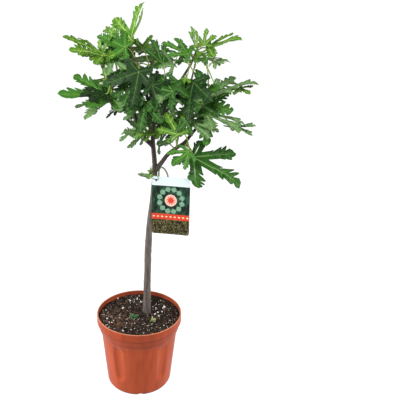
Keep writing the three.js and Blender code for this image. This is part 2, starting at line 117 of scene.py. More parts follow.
def patches(across: np.ndarray, along: np.ndarray, rng: Chance, wrap: int) -> np.ndarray:
    """Smooth seeded noise from -1 to 1 on a lattice of unit cells.

    Formula: random corner values, blended across each cell by the smooth step. The lattice repeats
    after wrap cells both ways, so it closes round a pot or a limb.

    Args:
        across: first lattice coordinate of each point.
        along: second lattice coordinate of each point.
        rng: where the corner values come from.
        wrap: cells before the lattice repeats.

    Returns:
        The noise at each point.
    """
    corners = rng.uniform(-1, 1, (wrap, wrap))
    i, j = np.floor(across).astype(int), np.floor(along).astype(int)
    u, v = ease(across - i), ease(along - j)
    near = corners[i % wrap, j % wrap] * (1 - u) + corners[(i + 1) % wrap, j % wrap] * u
    far = corners[i % wrap, (j + 1) % wrap] * (1 - u) + corners[(i + 1) % wrap, (j + 1) % wrap] * u
    return near * (1 - v) + far * v


class Spline:
    """A smooth curve through points, run at even speed.

    Formula: a centripetal Catmull-Rom curve. Each end has one more point, mirrored out from it, and
    the share of its length is turned into the curve's own parameter by a table of chords.
    """

    CHORDS = 200

    def __init__(self, points: Sequence[Sequence[float]]) -> None:
        """Measures the curve.

        Args:
            points: what the curve runs through, as rows of three numbers.
        """
        knots = np.asarray(points, float)
        first, last = 2 * knots[0] - knots[1], 2 * knots[-1] - knots[-2]
        self.knots = np.vstack([first, knots, last])
        self.marks = np.linspace(0, 1, self.CHORDS + 1)
        chords = np.linalg.norm(np.diff(self._spot(self.marks), axis=0), axis=1)
        self.walked = np.concatenate([[0], np.cumsum(chords)])
        self.length = float(self.walked[-1])

    def _spot(self, t: np.ndarray) -> np.ndarray:
        """Points at the curve's own parameter, from 0 to 1.

        Args:
            t: parameters.

        Returns:
            One row of three numbers for each.
        """
        spans = len(self.knots) - 3
        i = np.minimum((t * spans).astype(int), spans - 1)
        w = (t * spans - i)[:, None]
        p = [self.knots[i + k] for k in range(4)]
        d = [np.sqrt(np.linalg.norm(p[k + 1] - p[k], axis=1))[:, None] for k in range(3)]
        out = ((p[1] - p[0]) / d[0] - (p[2] - p[0]) / (d[0] + d[1]) + (p[2] - p[1]) / d[1]) * d[1]
        home = ((p[2] - p[1]) / d[1] - (p[3] - p[1]) / (d[1] + d[2]) + (p[3] - p[2]) / d[2]) * d[1]
        square = -3 * p[1] + 3 * p[2] - 2 * out - home
        cube = 2 * p[1] - 2 * p[2] + out + home
        return p[1] + out * w + square * w**2 + cube * w**3

    def at(self, share: np.ndarray | float) -> np.ndarray:
        """Points at shares of the curve's length, from 0 to 1."""
        share = np.atleast_1d(np.asarray(share, float))
        return self._spot(np.interp(share * self.length, self.walked, self.marks))


# ---------- surfaces ----------


@dataclass
class Surface:
    """Triangles in millimetres.

    Attributes:
        points: corners, one row each.
        triangles: three corner numbers a row, anticlockwise seen from outside.
        slots: the number of each triangle's finish.
        plan: where each corner lies on the flat pattern of its finish, or None.
    """

    GRAIN = 1e-3

    points: np.ndarray
    triangles: np.ndarray
    slots: np.ndarray
    plan: np.ndarray | None = None

    @staticmethod
    def sheets(
        points: np.ndarray,
        slots: np.ndarray | int = 0,
        wrap: bool = False,
        flip: bool = False,
        plan: np.ndarray | None = None,
    ) -> "Surface":
        """Covers grids of points with triangles.

        The outside is where the first grid direction crossed with the second one points.

        Args:
            points: (sheets, rows, columns, 3), or one sheet without the first axis.
            slots: one finish number, or one for each cell.
            wrap: whether the last column joins up with the first.
            flip: whether the outside is on the other side.
            plan: (rows, columns, 2) places on the flat pattern, for one sheet.

        Returns:
            The surface.
        """
        points = points if points.ndim == 4 else points[None]
        count, rows, columns, _ = points.shape
        index = np.arange(count * rows * columns).reshape(count, rows, columns)
        if wrap:
            index = np.concatenate([index, index[:, :, :1]], axis=2)
        a, b, c, d = index[:, :-1, :-1], index[:, 1:, :-1], index[:, 1:, 1:], index[:, :-1, 1:]
        halves = [[a, b, c], [a, c, d]] if not flip else [[a, c, b], [a, d, c]]
        triangles = np.stack([np.stack(half, -1) for half in halves], -2).reshape(-1, 3)
        each = np.repeat(np.broadcast_to(slots, a.shape).reshape(-1), 2)
        flat = None if plan is None else plan.reshape(-1, 2)
        return Surface(points.reshape(-1, 3), triangles, each, flat)

    @staticmethod
    def joined(parts: Sequence["Surface"]) -> "Surface":
        """All parts as one surface, each where it is.

        Args:
            parts: surfaces that all have a flat pattern, or none of them has.

        Returns:
            The one surface.
        """
        starts = np.cumsum([0] + [len(part.points) for part in parts[:-1]])
        return Surface(
            np.vstack([part.points for part in parts]),
            np.vstack([part.triangles + start for part, start in zip(parts, starts)]),
            np.concatenate([part.slots for part in parts]),
            None if parts[0].plan is None else np.vstack([part.plan for part in parts]),
        )

    def welded(self) -> "Surface":
        """Merges corners of one cell of GRAIN millimetres, and drops the triangles that this closes up.

        Returns:
            The welded surface, without a flat pattern.
        """
        cells = np.round(self.points / self.GRAIN).astype(np.int64)
        _, keep, to = np.unique(cells, axis=0, return_index=True, return_inverse=True)
        triangles = to.reshape(-1)[self.triangles]
        a, b, c = triangles.T
        good = (a != b) & (b != c) & (c != a)
        return Surface(self.points[keep], triangles[good], self.slots[good])

    def piece(
        self,
        name: str,
        finishes: Sequence[Material],
        slot: str,
        replaced: Sequence[str] = (),
        smooth: bool = True,
    ) -> None:
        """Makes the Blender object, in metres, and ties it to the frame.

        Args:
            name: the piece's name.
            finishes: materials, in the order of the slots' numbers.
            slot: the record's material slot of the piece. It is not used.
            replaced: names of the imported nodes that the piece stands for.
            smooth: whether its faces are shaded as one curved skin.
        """
        mesh = bpy.data.meshes.new(name)
        mesh.from_pydata(self.points * MM, [], self.triangles)
        mesh.polygons.foreach_set("material_index", self.slots.astype(np.int32))
        mesh.polygons.foreach_set("use_smooth", np.full(len(self.triangles), smooth))
        if self.plan is not None:
            layer = mesh.uv_layers.new(name="plan")
            places = self.plan[self.triangles.reshape(-1)]
            layer.data.foreach_set("uv", places.astype(np.float32).reshape(-1))
        for finish in finishes:
            mesh.materials.append(finish)
        mesh.update()
        thing = in_scene(name, mesh)
        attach(thing, BODY)
        if replaced:
            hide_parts(*replaced)
        log.info("%s: %d triangles", name, len(self.triangles))


def in_scene(name: str, data: bpy.types.ID) -> bpy.types.Object:
    """Puts a new object into the scene.

    Args:
        name: its name.
        data: the mesh, camera or light that it holds.

    Returns:
        The object.
    """
    thing = bpy.data.objects.new(name, data)
    bpy.context.scene.collection.objects.link(thing)
    return thing


def across_of(path: np.ndarray) -> tuple[np.ndarray, np.ndarray]:
    """Two unit directions across a path at each of its points, without twist.

    The path's points are laid nearly in one plane, and the first direction is kept as near to that
    plane's normal as the path allows.

    Args:
        path: the points, one row each.

    Returns:
        The two directions, one row for each point. Crossed, they point along the path.
    """
    tangents = unit(np.gradient(path, axis=0))
    normal = np.linalg.svd(path - path.mean(0), full_matrices=True)[2][2]
    first = unit(normal - (tangents @ normal)[:, None] * tangents)
    return first, np.cross(tangents, first)


def tube(path: np.ndarray, radii: np.ndarray, sides: int) -> np.ndarray:
    """A round rod along a path, closed at both ends.

    Formula: centre + radius (cos(angle) first + sin(angle) second) on each ring, and one more ring of
    no radius at either end.

    Args:
        path: centres of the rings.
        radii: (rings,) or (rings, sides) distances from the centre.
        sides: corners round a ring.

    Returns:
        Points as (rings + 2, sides, 3), which wrap round.
    """
    first, second = across_of(path)
    angle = circle(sides)[None, :, None]
    radii = radii[:, None, None] if radii.ndim == 1 else radii[:, :, None]
    rings = path[:, None] + radii * (np.cos(angle) * first[:, None] + np.sin(angle) * second[:, None])
    ends = np.repeat(path[[0, -1], None], sides, axis=1)
    return np.concatenate([ends[:1], rings, ends[1:]])


def rod(path: np.ndarray, radii: np.ndarray, sides: int, slot: int = 0) -> Surface:
    """The surface of a tube with its faces outwards."""
    return Surface.sheets(tube(path, radii, sides), slot, wrap=True, flip=True).welded()


# ---------- shading ----------


def paint(code: Colour) -> tuple[float, float, float, float]:
    """The linear colour of a screen colour.

    Formula: the standard screen curve, c / 12.92 near black and ((c + 0.055) / 1.055)^2.4 above.

    Args:
        code: the colour on screen.

    Returns:
        Red, green, blue and an opacity of 1.
    """
    shares = [int(code[i : i + 2], 16) / 255 for i in (0, 2, 4)]
    linear = [s / 12.92 if s <= 0.04045 else ((s + 0.055) / 1.055) ** 2.4 for s in shares]
    return (linear[0], linear[1], linear[2], 1.0)


def maths(operation: str, reflected: bool = False) -> "Callable[..., Wire]":
    """Makes a method of Wire that adds one Math node.

    Args:
        operation: what the node does.
        reflected: whether the wire is the node's last term, not its first.

    Returns:
        The method, which takes the other terms and gives the node's result.
    """

    def method(self: "Wire", *others: "Wire | float") -> "Wire":
        """The node's result on this wire and the others."""
        terms = (*others, self) if reflected else (self, *others)
        return self.shader.add("ShaderNodeMath", {"operation": operation}, dict(enumerate(terms)))

    return method


class Wire:
    """A value in a node tree. Arithmetic on it adds Math nodes.

    Of the named methods, top gives the larger of two values, sine the sine of an angle in radians,
    turned the angle in radians whose tangent is this value over the other, and root the square root.
    """

    def __init__(self, shader: "Shader", socket: bpy.types.NodeSocket) -> None:
        """Holds the output socket that the value comes from."""
        self.shader = shader
        self.socket = socket

    __add__ = __radd__ = maths("ADD")
    __sub__ = maths("SUBTRACT")
    __rsub__ = maths("SUBTRACT", reflected=True)
    __mul__ = __rmul__ = maths("MULTIPLY")
    __pow__ = maths("POWER")
    __abs__ = maths("ABSOLUTE")
    top = maths("MAXIMUM")
    sine = maths("SINE")
    turned = maths("ARCTAN2")
    root = maths("SQRT")

    def step(self, low: float, high: float, share: float = 1) -> "Wire":
        """A smooth step, down where low is the larger.

        Args:
            low: where it is 0.
            high: where it is whole.
            share: how high the whole step is.

        Returns:
            The step.
        """
        settings = {"interpolation_type": "SMOOTHSTEP", "clamp": True}
        span = {"Value": self, "From Min": min(low, high), "From Max": max(low, high)}
        ends = {"To Min": share * (low > high), "To Max": share * (low < high)}
        return self.shader.add("ShaderNodeMapRange", settings, span | ends)


@dataclass(frozen=True)
class Noise:
    """Smooth noise in an object's own space.

    Attributes:
        scale: cells to a metre.
        detail: octaves of finer noise.
        stretch: factors on the scale along X, Y and Z.
        roughness: strength of the finer octaves.
        span: levels between which it fades in, or None for plain noise.
    """

    scale: float
    detail: float = 2
    stretch: Triple = (1, 1, 1)
    roughness: float = 0.5
    span: Pair | None = None


class Shader:
    """One material's node tree, which ends in a Principled surface."""

    def __init__(self, name: str) -> None:
        """Starts the material with an empty tree and its surface.

        Args:
            name: the material's name.
        """
        self.material = bpy.data.materials.new(name)
        self.material.use_nodes = True
        self.tree = self.material.node_tree
        self.tree.nodes.clear()
        self.surface = self.tree.nodes.new("ShaderNodeBsdfPrincipled")
        output = self.tree.nodes.new("ShaderNodeOutputMaterial")
        self.tree.links.new(self.surface.outputs["BSDF"], output.inputs["Surface"])

    def fill(self, node: bpy.types.Node, sockets: dict[str | int, object]) -> None:
        """Sets a node's sockets.

        Args:
            node: the node.
            sockets: for each socket's name or number, a Wire to link, or a Colour or other value to set.
        """
        for key, value in sockets.items():
            if isinstance(value, Wire):
                self.tree.links.new(value.socket, node.inputs[key])
            else:
                node.inputs[key].default_value = paint(value) if isinstance(value, str) else value

    def add(
        self,
        kind: str,
        settings: dict[str, object] | None = None,
        sockets: dict[str | int, object] | None = None,
        output: str | int = 0,
    ) -> Wire:
        """Adds a node.

        Args:
            kind: the node's type.
            settings: its own settings, which are set first.
            sockets: values or wires for its sockets.
            output: name or number of the output that is wanted.

        Returns:
            That output.
        """
        node = self.tree.nodes.new(kind)
        for key, value in (settings or {}).items():
            setattr(node, key, value)
        self.fill(node, sockets or {})
        return Wire(self, node.outputs[output])

    def place(self) -> Wire:
        """The point's place on the object, in metres."""
        return self.add("ShaderNodeTexCoord", output="Object")

    def parts(self, vector: Wire) -> list[Wire]:
        """The three parts of a vector."""
        split = self.add("ShaderNodeSeparateXYZ", sockets={"Vector": vector})
        return [Wire(self, socket) for socket in split.socket.node.outputs]

    def noise(self, kind: Noise) -> Wire:
        """Noise from 0 to 1.

        Args:
            kind: its scale and character.

        Returns:
            The noise.
        """
        at = self.add("ShaderNodeMapping", sockets={"Vector": self.place(), "Scale": kind.stretch})
        sockets = {"Vector": at, "Scale": kind.scale, "Detail": kind.detail, "Roughness": kind.roughness}
        wire = self.add("ShaderNodeTexNoise", sockets=sockets)
        return wire.step(*kind.span) if kind.span else wire

    def blend(self, share: Wire, first: Wire | Colour, second: Wire | Colour) -> Wire:
        """A colour between two: the first where share is 0, the second where it is 1."""
        settings = {"data_type": "RGBA", "clamp_factor": True}
        return self.add("ShaderNodeMix", settings, {0: share, 6: first, 7: second}, output=2)

    def bump(self, height: Wire, depth: float) -> Wire:
        """The normal over a relief of this depth in millimetres."""
        return self.add("ShaderNodeBump", sockets={"Height": height, "Distance": depth * MM}, output="Normal")

    def done(self, **sockets: object) -> Material:
        """Sets the surface's sockets, named with _ for a space, and gives back the material."""
        self.fill(self.surface, {key.replace("_", " "): value for key, value in sockets.items()})
        return self.material


# ---------- finishes ----------


# A span gives the noise levels, heights or distances between which a pattern fades in, and where it
# has a third number, how much of it shows then. Heights and distances are in metres here, depths of
# relief in millimetres.


@dataclass(frozen=True)
class PotPlastic:
    """Moulded plastic the colour of fired clay, streaked and scuffed, with soil dust at the mouth, painted
    shade and a painted highlight.
    """

    body: Colour = "b9512d"
    shade: Colour = "a74627"
    # pale: colour of the scuffs, and of the painted highlight on the rim's edge.
    pale: Colour = "d08a68"
    # deep: colour of the painted shade on the upper wall and lip band.
    deep: Colour = "8a3925"
    # dust: colour of the soil dust specks at the mouth, and of the painted shade on the wall inside it.
    dust: Colour = "5b3a2c"
    # Colour of the painted shade in the creases under the bands and along the foot.
    crease_shade: Colour = "5e2413"
    mouth_height: float = 0.186
    inner_radius: float = 0.0972
    crease_heights: Pair = (0.1655, 0.148)
    streaks: Noise = Noise(60, 3, (1, 1, 0.12))
    streak_span: Pair = (0.35, 0.7)
    clouds: Noise = Noise(16, 3)
    cloud_span: Pair = (0.42, 0.6)
    scuffs: Noise = Noise(240, 4, (1, 1, 0.3), 0.65)
    scuff_span: Triple = (0.62, 0.75, 0.35)
    lip_band_shade_span: Triple = (0.12, 0.17, 0.4)
    specks: Noise = Noise(420, 3, span=(0.6, 0.68))
    speck_share: float = 0.6
    dust_and_shade_band: float = 0.012
    inner_shade_span: Pair = (0.0012, 0.0002)
    inner_shade_share: float = 0.5
    foot_span: Triple = (0.0075, 0.001, 1.5)
    crease_span: Pair = (0.002, 0.0004)
    crease_share: float = 0.55
    rim_highlight_span: Pair = (0.0012, 0.0002)
    rim_highlight_share: float = 0.7
    grain: Noise = Noise(1500, 2)
    relief: float = 0.1

    def material(self) -> Material:
        """Builds the finish.

        Returns:
            The material.
        """
        s = Shader("pot_plastic")
        streaks, clouds, scuffs = s.noise(self.streaks), s.noise(self.clouds), s.noise(self.scuffs)
        base = s.blend(streaks.step(*self.streak_span), self.body, self.shade)
        base = s.blend(scuffs.step(*self.scuff_span), base, self.pale)
        height = s.parts(s.place())[2]
        # Painted shade: from 120 mm up, the wall and the lip band are darkened.
        base = s.blend(height.step(*self.lip_band_shade_span), base, self.deep)
        high = height.step(self.mouth_height - self.dust_and_shade_band, self.mouth_height)
        specks = s.noise(self.specks) * clouds.step(*self.cloud_span)
        base = s.blend(specks * high * self.speck_share, base, self.dust)
        # Painted shade: the wall inside the mouth is darkened with the dust colour.
        x, y, _ = s.parts(s.place())
        low, full = (self.inner_radius + edge for edge in self.inner_shade_span)
        inside = (x * x + y * y).root().step(low, full) * high
        base = s.blend(inside * self.inner_shade_share, base, self.dust)
        # Painted shade: dark lines in the creases under the bands, and a painted contact shadow along the
        # foot.
        creases = height.step(*self.foot_span)
        for level in self.crease_heights:
            creases = creases.top(abs(height - level).step(*self.crease_span))
        base = s.blend(creases * self.crease_share, base, self.crease_shade)
        # Painted highlight: a pale line along the top edge of the rim.
        edge = height.step(*(self.mouth_height - below for below in self.rim_highlight_span))
        base = s.blend(edge * self.rim_highlight_share, base, self.pale)
        return s.done(
            Base_Color=base,
            Roughness=0.34 + 0.12 * clouds + 0.2 * specks * high,
            Normal=s.bump(s.noise(self.grain) * 0.4 + scuffs, self.relief),
            Specular_IOR_Level=0.2,
            Sheen_Weight=0.2,
            Sheen_Roughness=0.3,
        )


@dataclass(frozen=True)
class PottingSoil:
    """Dark peat with browner fibre on one side."""

    peat: Colour = "1a1512"
    crumb: Colour = "3f332d"
    cover: Noise = Noise(340, 5, roughness=0.7, span=(0.4, 0.66))
    fibre: Colour = "8a6850"
    tufts: Noise = Noise(180, 4, span=(0.36, 0.6))
    strands: Noise = Noise(520, 4, (1, 0.35, 1), 0.7, (0.45, 0.62))
    strand_share: float = 0.65
    patch: Pair = (-0.05, -0.008)
    patch_reach: float = 0.06
    patch_core: float = 0.35
    relief: Noise = Noise(900, 6, roughness=0.75)
    relief_depth: float = 1.4

    def material(self) -> Material:
        """Builds the finish.

        Returns:
            The material.
        """
        s = Shader("potting_soil")
        x, y, _ = s.parts(s.place())
        away = ((x - self.patch[0]) ** 2 + (y - self.patch[1]) ** 2).root()
        brown = away.step(self.patch_reach, self.patch_reach * self.patch_core) * s.noise(self.tufts)
        base = s.blend(s.noise(self.cover), self.peat, self.crumb)
        strands = 1 - self.strand_share + self.strand_share * s.noise(self.strands)
        base = s.blend(brown * strands, base, self.fibre)
        relief = s.bump(s.noise(self.relief), self.relief_depth)
        return s.done(Base_Color=base, Roughness=0.95, Normal=relief, Specular_IOR_Level=0.08)


@dataclass(frozen=True)
class Mottled:
    """A plain matt stuff whose colour wanders between two, with a fine grain.

    Attributes:
        name: the material's name.
        first, second: its two colours.
        scale: cells of the wandering to a metre.
        rough: mean roughness.
        grain: depth of the grain in millimetres.
        stretch: factors on the scale along X, Y and Z.
        gloss: strength of its shine.
    """

    name: str
    first: Colour
    second: Colour
    scale: float
    rough: float = 0.8
    grain: float = 0.2
    stretch: Triple = (1, 1, 1)
    gloss: float = 0.3
    span: Pair = (0.36, 0.64)
    rough_swing: float = 0.1
    finer: float = 5

    def material(self) -> Material:
        """Builds the finish.

        Returns:
            The material.
        """
        s = Shader(self.name)
        wander = s.noise(Noise(self.scale, 4, self.stretch, 0.6))
        base = s.blend(wander.step(*self.span), self.first, self.second)
        rough = self.rough - self.rough_swing + 2 * self.rough_swing * wander
        relief = s.bump(s.noise(Noise(self.scale * self.finer, 4, self.stretch)), self.grain)
        return s.done(Base_Color=base, Roughness=rough, Normal=relief, Specular_IOR_Level=self.gloss)


@dataclass(frozen=True)
class Bark:
    """Smooth grey-brown bark that darkens and greens towards the young wood."""

    old: Colour = "524842"
    pale: Colour = "6c625d"
    young: Colour = "43382f"
    dark: Colour = "2d2620"
    change: Pair = (0.5, 0.6)
    change_drift: float = 0.03
    streaks: Noise = Noise(190, 5, (1, 1, 0.16), 0.65)
    old_span: Pair = (0.38, 0.62)
    young_span: Pair = (0.4, 0.66)
    clouds: Noise = Noise(45, 3, (1, 1, 0.5))
    cloud_span: Triple = (0.5, 0.72, 0.6)
    flecks: Noise = Noise(700, 2, (0.7, 0.7, 2.4), span=(0.66, 0.72))
    fleck_share: float = 0.5
    grain: Noise = Noise(1100, 3)
    grain_share: float = 0.4
    relief_depth: float = 0.7

    def material(self) -> Material:
        """Builds the finish.

        Returns:
            The material.
        """
        s = Shader("bark")
        streaks, clouds = s.noise(self.streaks), s.noise(self.clouds)
        flecks = self.fleck_share * s.noise(self.flecks)
        old = s.blend(streaks.step(*self.old_span), self.old, self.pale)
        old = s.blend(clouds.step(*self.cloud_span), old, self.young)
        young = s.blend(streaks.step(*self.young_span), self.dark, self.young)
        height = s.parts(s.place())[2] + self.change_drift * clouds
        base = s.blend(height.step(*self.change), old, young)
        base = s.blend(flecks, base, self.pale)
        relief = s.bump(streaks + flecks + self.grain_share * s.noise(self.grain), self.relief_depth)
        return s.done(Base_Color=base, Roughness=0.72 + 0.15 * streaks, Normal=relief)


@dataclass(frozen=True)
class LeafSkin:
    """The skin of a leaf: one plain green, with a fine net in its relief and its gloss.

    Attributes:
        name: the material's name.
        colour: the green.
        rough: mean roughness.
        net: depth of the relief in millimetres.
        gloss: strength of its shine.
        meshes, cord: the net's meshes to a metre, and half width of its lines as a share of one.
    """

    name: str
    colour: Colour
    rough: float = 0.5
    net: float = 0.35
    gloss: float = 0.24
    meshes: float = 260
    cord: float = 0.12
    net_share: float = 0.6
    grain: Noise = Noise(900, 3)
    sheen: Noise = Noise(70, 2)
    rough_swing: float = 0.08

    def material(self) -> Material:
        """Builds the finish.

        Returns:
            The material.
        """
        s = Shader(self.name)
        settings, sockets = {"feature": "DISTANCE_TO_EDGE"}, {"Vector": s.place(), "Scale": self.meshes}
        cells = s.add("ShaderNodeTexVoronoi", settings, sockets)
        grain = s.noise(self.grain)
        rough = self.rough - self.rough_swing + 2 * self.rough_swing * s.noise(self.sheen)
        net = cells.step(0, self.cord) * self.net_share + grain * (1 - self.net_share)
        relief = s.bump(net, self.net)
        return s.done(Base_Color=self.colour, Roughness=rough, Normal=relief, Specular_IOR_Level=self.gloss)


@dataclass(frozen=True)
class Print:
    """The printed front of the label: bands and rings, drawn on the label's flat pattern.

    The pattern runs from 0 to 1 across and down the card. Below a pale header lies a dark green field
    with a wreath of leaflets round a warm disc, then a red band with a row of beads, then a mottled
    brown foot. Rings and discs are given in widths of the card, the beads by the peaks of a sine.
    """

    header: Colour = "dfeff4"
    field_dark: Colour = "101c16"
    field_green: Colour = "2c5540"
    leaflet: Colour = "86b394"
    disc: Colour = "d8402c"
    disc_pale: Colour = "f3cdbb"
    band: Colour = "d6442a"
    bead: Colour = "f0d9b0"
    foot_dark: Colour = "1c140d"
    foot_green: Colour = "555229"
    header_end: float = 0.15
    band_start: float = 0.64
    band_end: float = 0.74
    soft: float = 0.002
    middle: Pair = (0.5, 0.4)
    shape: float = 132 / 85
    wreath: float = 0.3
    leaflet_size: float = 0.07
    leaflets: int = 6
    pale_span: Pair = (0.165, 0.15)
    core_span: Pair = (0.1, 0.08)
    core_wave: float = 0.02
    core_waves: int = 9
    seed_ring: float = 0.12
    seed_size: float = 0.012
    seed_rows: int = 24
    beads: float = 28.27
    bead_size: float = 0.03
    bead_line: float = 0.69
    relief: Noise = Noise(300)
    relief_depth: float = 0.05
    smears: Noise = Noise(90)

    def material(self) -> Material:
        """Builds the finish.

        Returns:
            The material.
        """
        s = Shader("label_print")
        plan = s.add("ShaderNodeUVMap", {"uv_map": "plan"})
        u, v, _ = s.parts(plan)

        def cloud(scale: float, low: float, high: float) -> Wire:
            """Noise on the flat pattern, between two of its levels."""
            sockets = {"Vector": plan, "Scale": scale, "Detail": 4.0, "Roughness": 0.65}
            return s.add("ShaderNodeTexNoise", sockets=sockets).step(low, high)

        x, y = u - self.middle[0], (v - self.middle[1]) * self.shape
        away = (x * x + y * y).root()
        angle = y.turned(x)
        leaflets = abs((angle * self.leaflets).sine())
        ring = (abs(away - self.wreath) - self.leaflet_size * leaflets).step(0.012, -0.012)
        disc = away.step(*self.pale_span)
        core = (away + self.core_wave * (angle * self.core_waves).sine()).step(*self.core_span)
        rows = (angle * self.seed_rows).sine().step(0.2, 0.5)
        seeds = (abs(away - self.seed_ring) - self.seed_size).step(0.008, -0.008) * rows
        field = s.blend(cloud(7, 0.4, 0.62), self.field_dark, self.field_green)
        field = s.blend(ring * (0.6 + 0.4 * cloud(30, 0.3, 0.7)), field, self.leaflet)
        field = s.blend(disc, field, self.disc_pale)
        for red in (core, seeds):
            field = s.blend(red, field, self.disc)
        beads = (abs((u * self.beads).sine()) - 0.5) * self.bead_size - abs(v - self.bead_line)
        band = s.blend(beads.step(0, 0.004), self.band, self.bead)
        foot = s.blend(cloud(16, 0.42, 0.6), self.foot_dark, self.foot_green)
        foot = s.blend(cloud(34, 0.6, 0.66), foot, self.bead)
        whole: Wire | Colour = self.header
        for start, below in ((self.header_end, field), (self.band_start, band), (self.band_end, foot)):
            whole = s.blend(v.step(start - self.soft, start + self.soft), whole, below)
        return s.done(
            Base_Color=whole,
            Roughness=0.4 + 0.1 * s.noise(self.smears),
            Normal=s.bump(s.noise(self.relief), self.relief_depth),
            Specular_IOR_Level=0.25,
        )


class Tone(Enum):
    """The greens of a leaf: outer blade, inner blade beside the ribs, underside and rib."""

    # Each leaf takes the tone nearest to how bright it looks, so the greens are partly the leaves' own colour
    # and partly painted light and painted shade.
    BRIGHT = ("4f8018", "648f22", "7d985a", "b9d283")
    FRESH = ("3c7522", "4a822a", "6b855b", "7ba24c")
    MID = ("2b5a19", "386c23", "5b744e", "7c9c5c")
    DEEP = ("193812", "214515", "435c3a", "56763f")
    DARK = ("0f240b", "152f0e", "2e4525", "335222")
    GREY = ("62854f", "709559", "7e9769", "a8c686")


# ---------- pot and soil ----------


def rounded(corners: Sequence[Triple], steps: int = 5) -> np.ndarray:
    """An outline with its corners rounded.

    Formula: each corner becomes a quadratic arc from ease before it to ease after it, as
    (1-t)^2 before + 2t(1-t) corner + t^2 after.

    Args:
        corners: across, height and ease of each corner. An ease of 0 keeps the corner.
        steps: points on an arc.

    Returns:
        The outline's points, one row each.
    """
    spots = np.array([corner[:2] for corner in corners], float)
    outline = []
    for i, (_, _, size) in enumerate(corners):
        if not size:
            outline.append(spots[i][None])
            continue
        before = spots[i] + size * unit(spots[i - 1] - spots[i])
        after = spots[i] + size * unit(spots[i + 1] - spots[i])
        t = np.linspace(0, 1, steps)[:, None]
        outline.append((1 - t) ** 2 * before + 2 * t * (1 - t) * spots[i] + t**2 * after)
    return np.vstack(outline)


def filled(outline: np.ndarray, pitch: float) -> np.ndarray:
    """The outline with more points on its long straights.

    Args:
        outline: its points, one row each.
        pitch: the most that two points lie apart.

    Returns:
        The points, one row each.
    """
    gaps = np.linalg.norm(np.diff(outline, axis=0), axis=1)
    counts = np.maximum(np.ceil(gaps / pitch).astype(int), 1)
    shares = [np.arange(n)[:, None] / n for n in counts]
    runs = [a + (b - a) * t for a, b, t in zip(outline[:-1], outline[1:], shares)]
    return np.vstack([*runs, outline[-1:]])


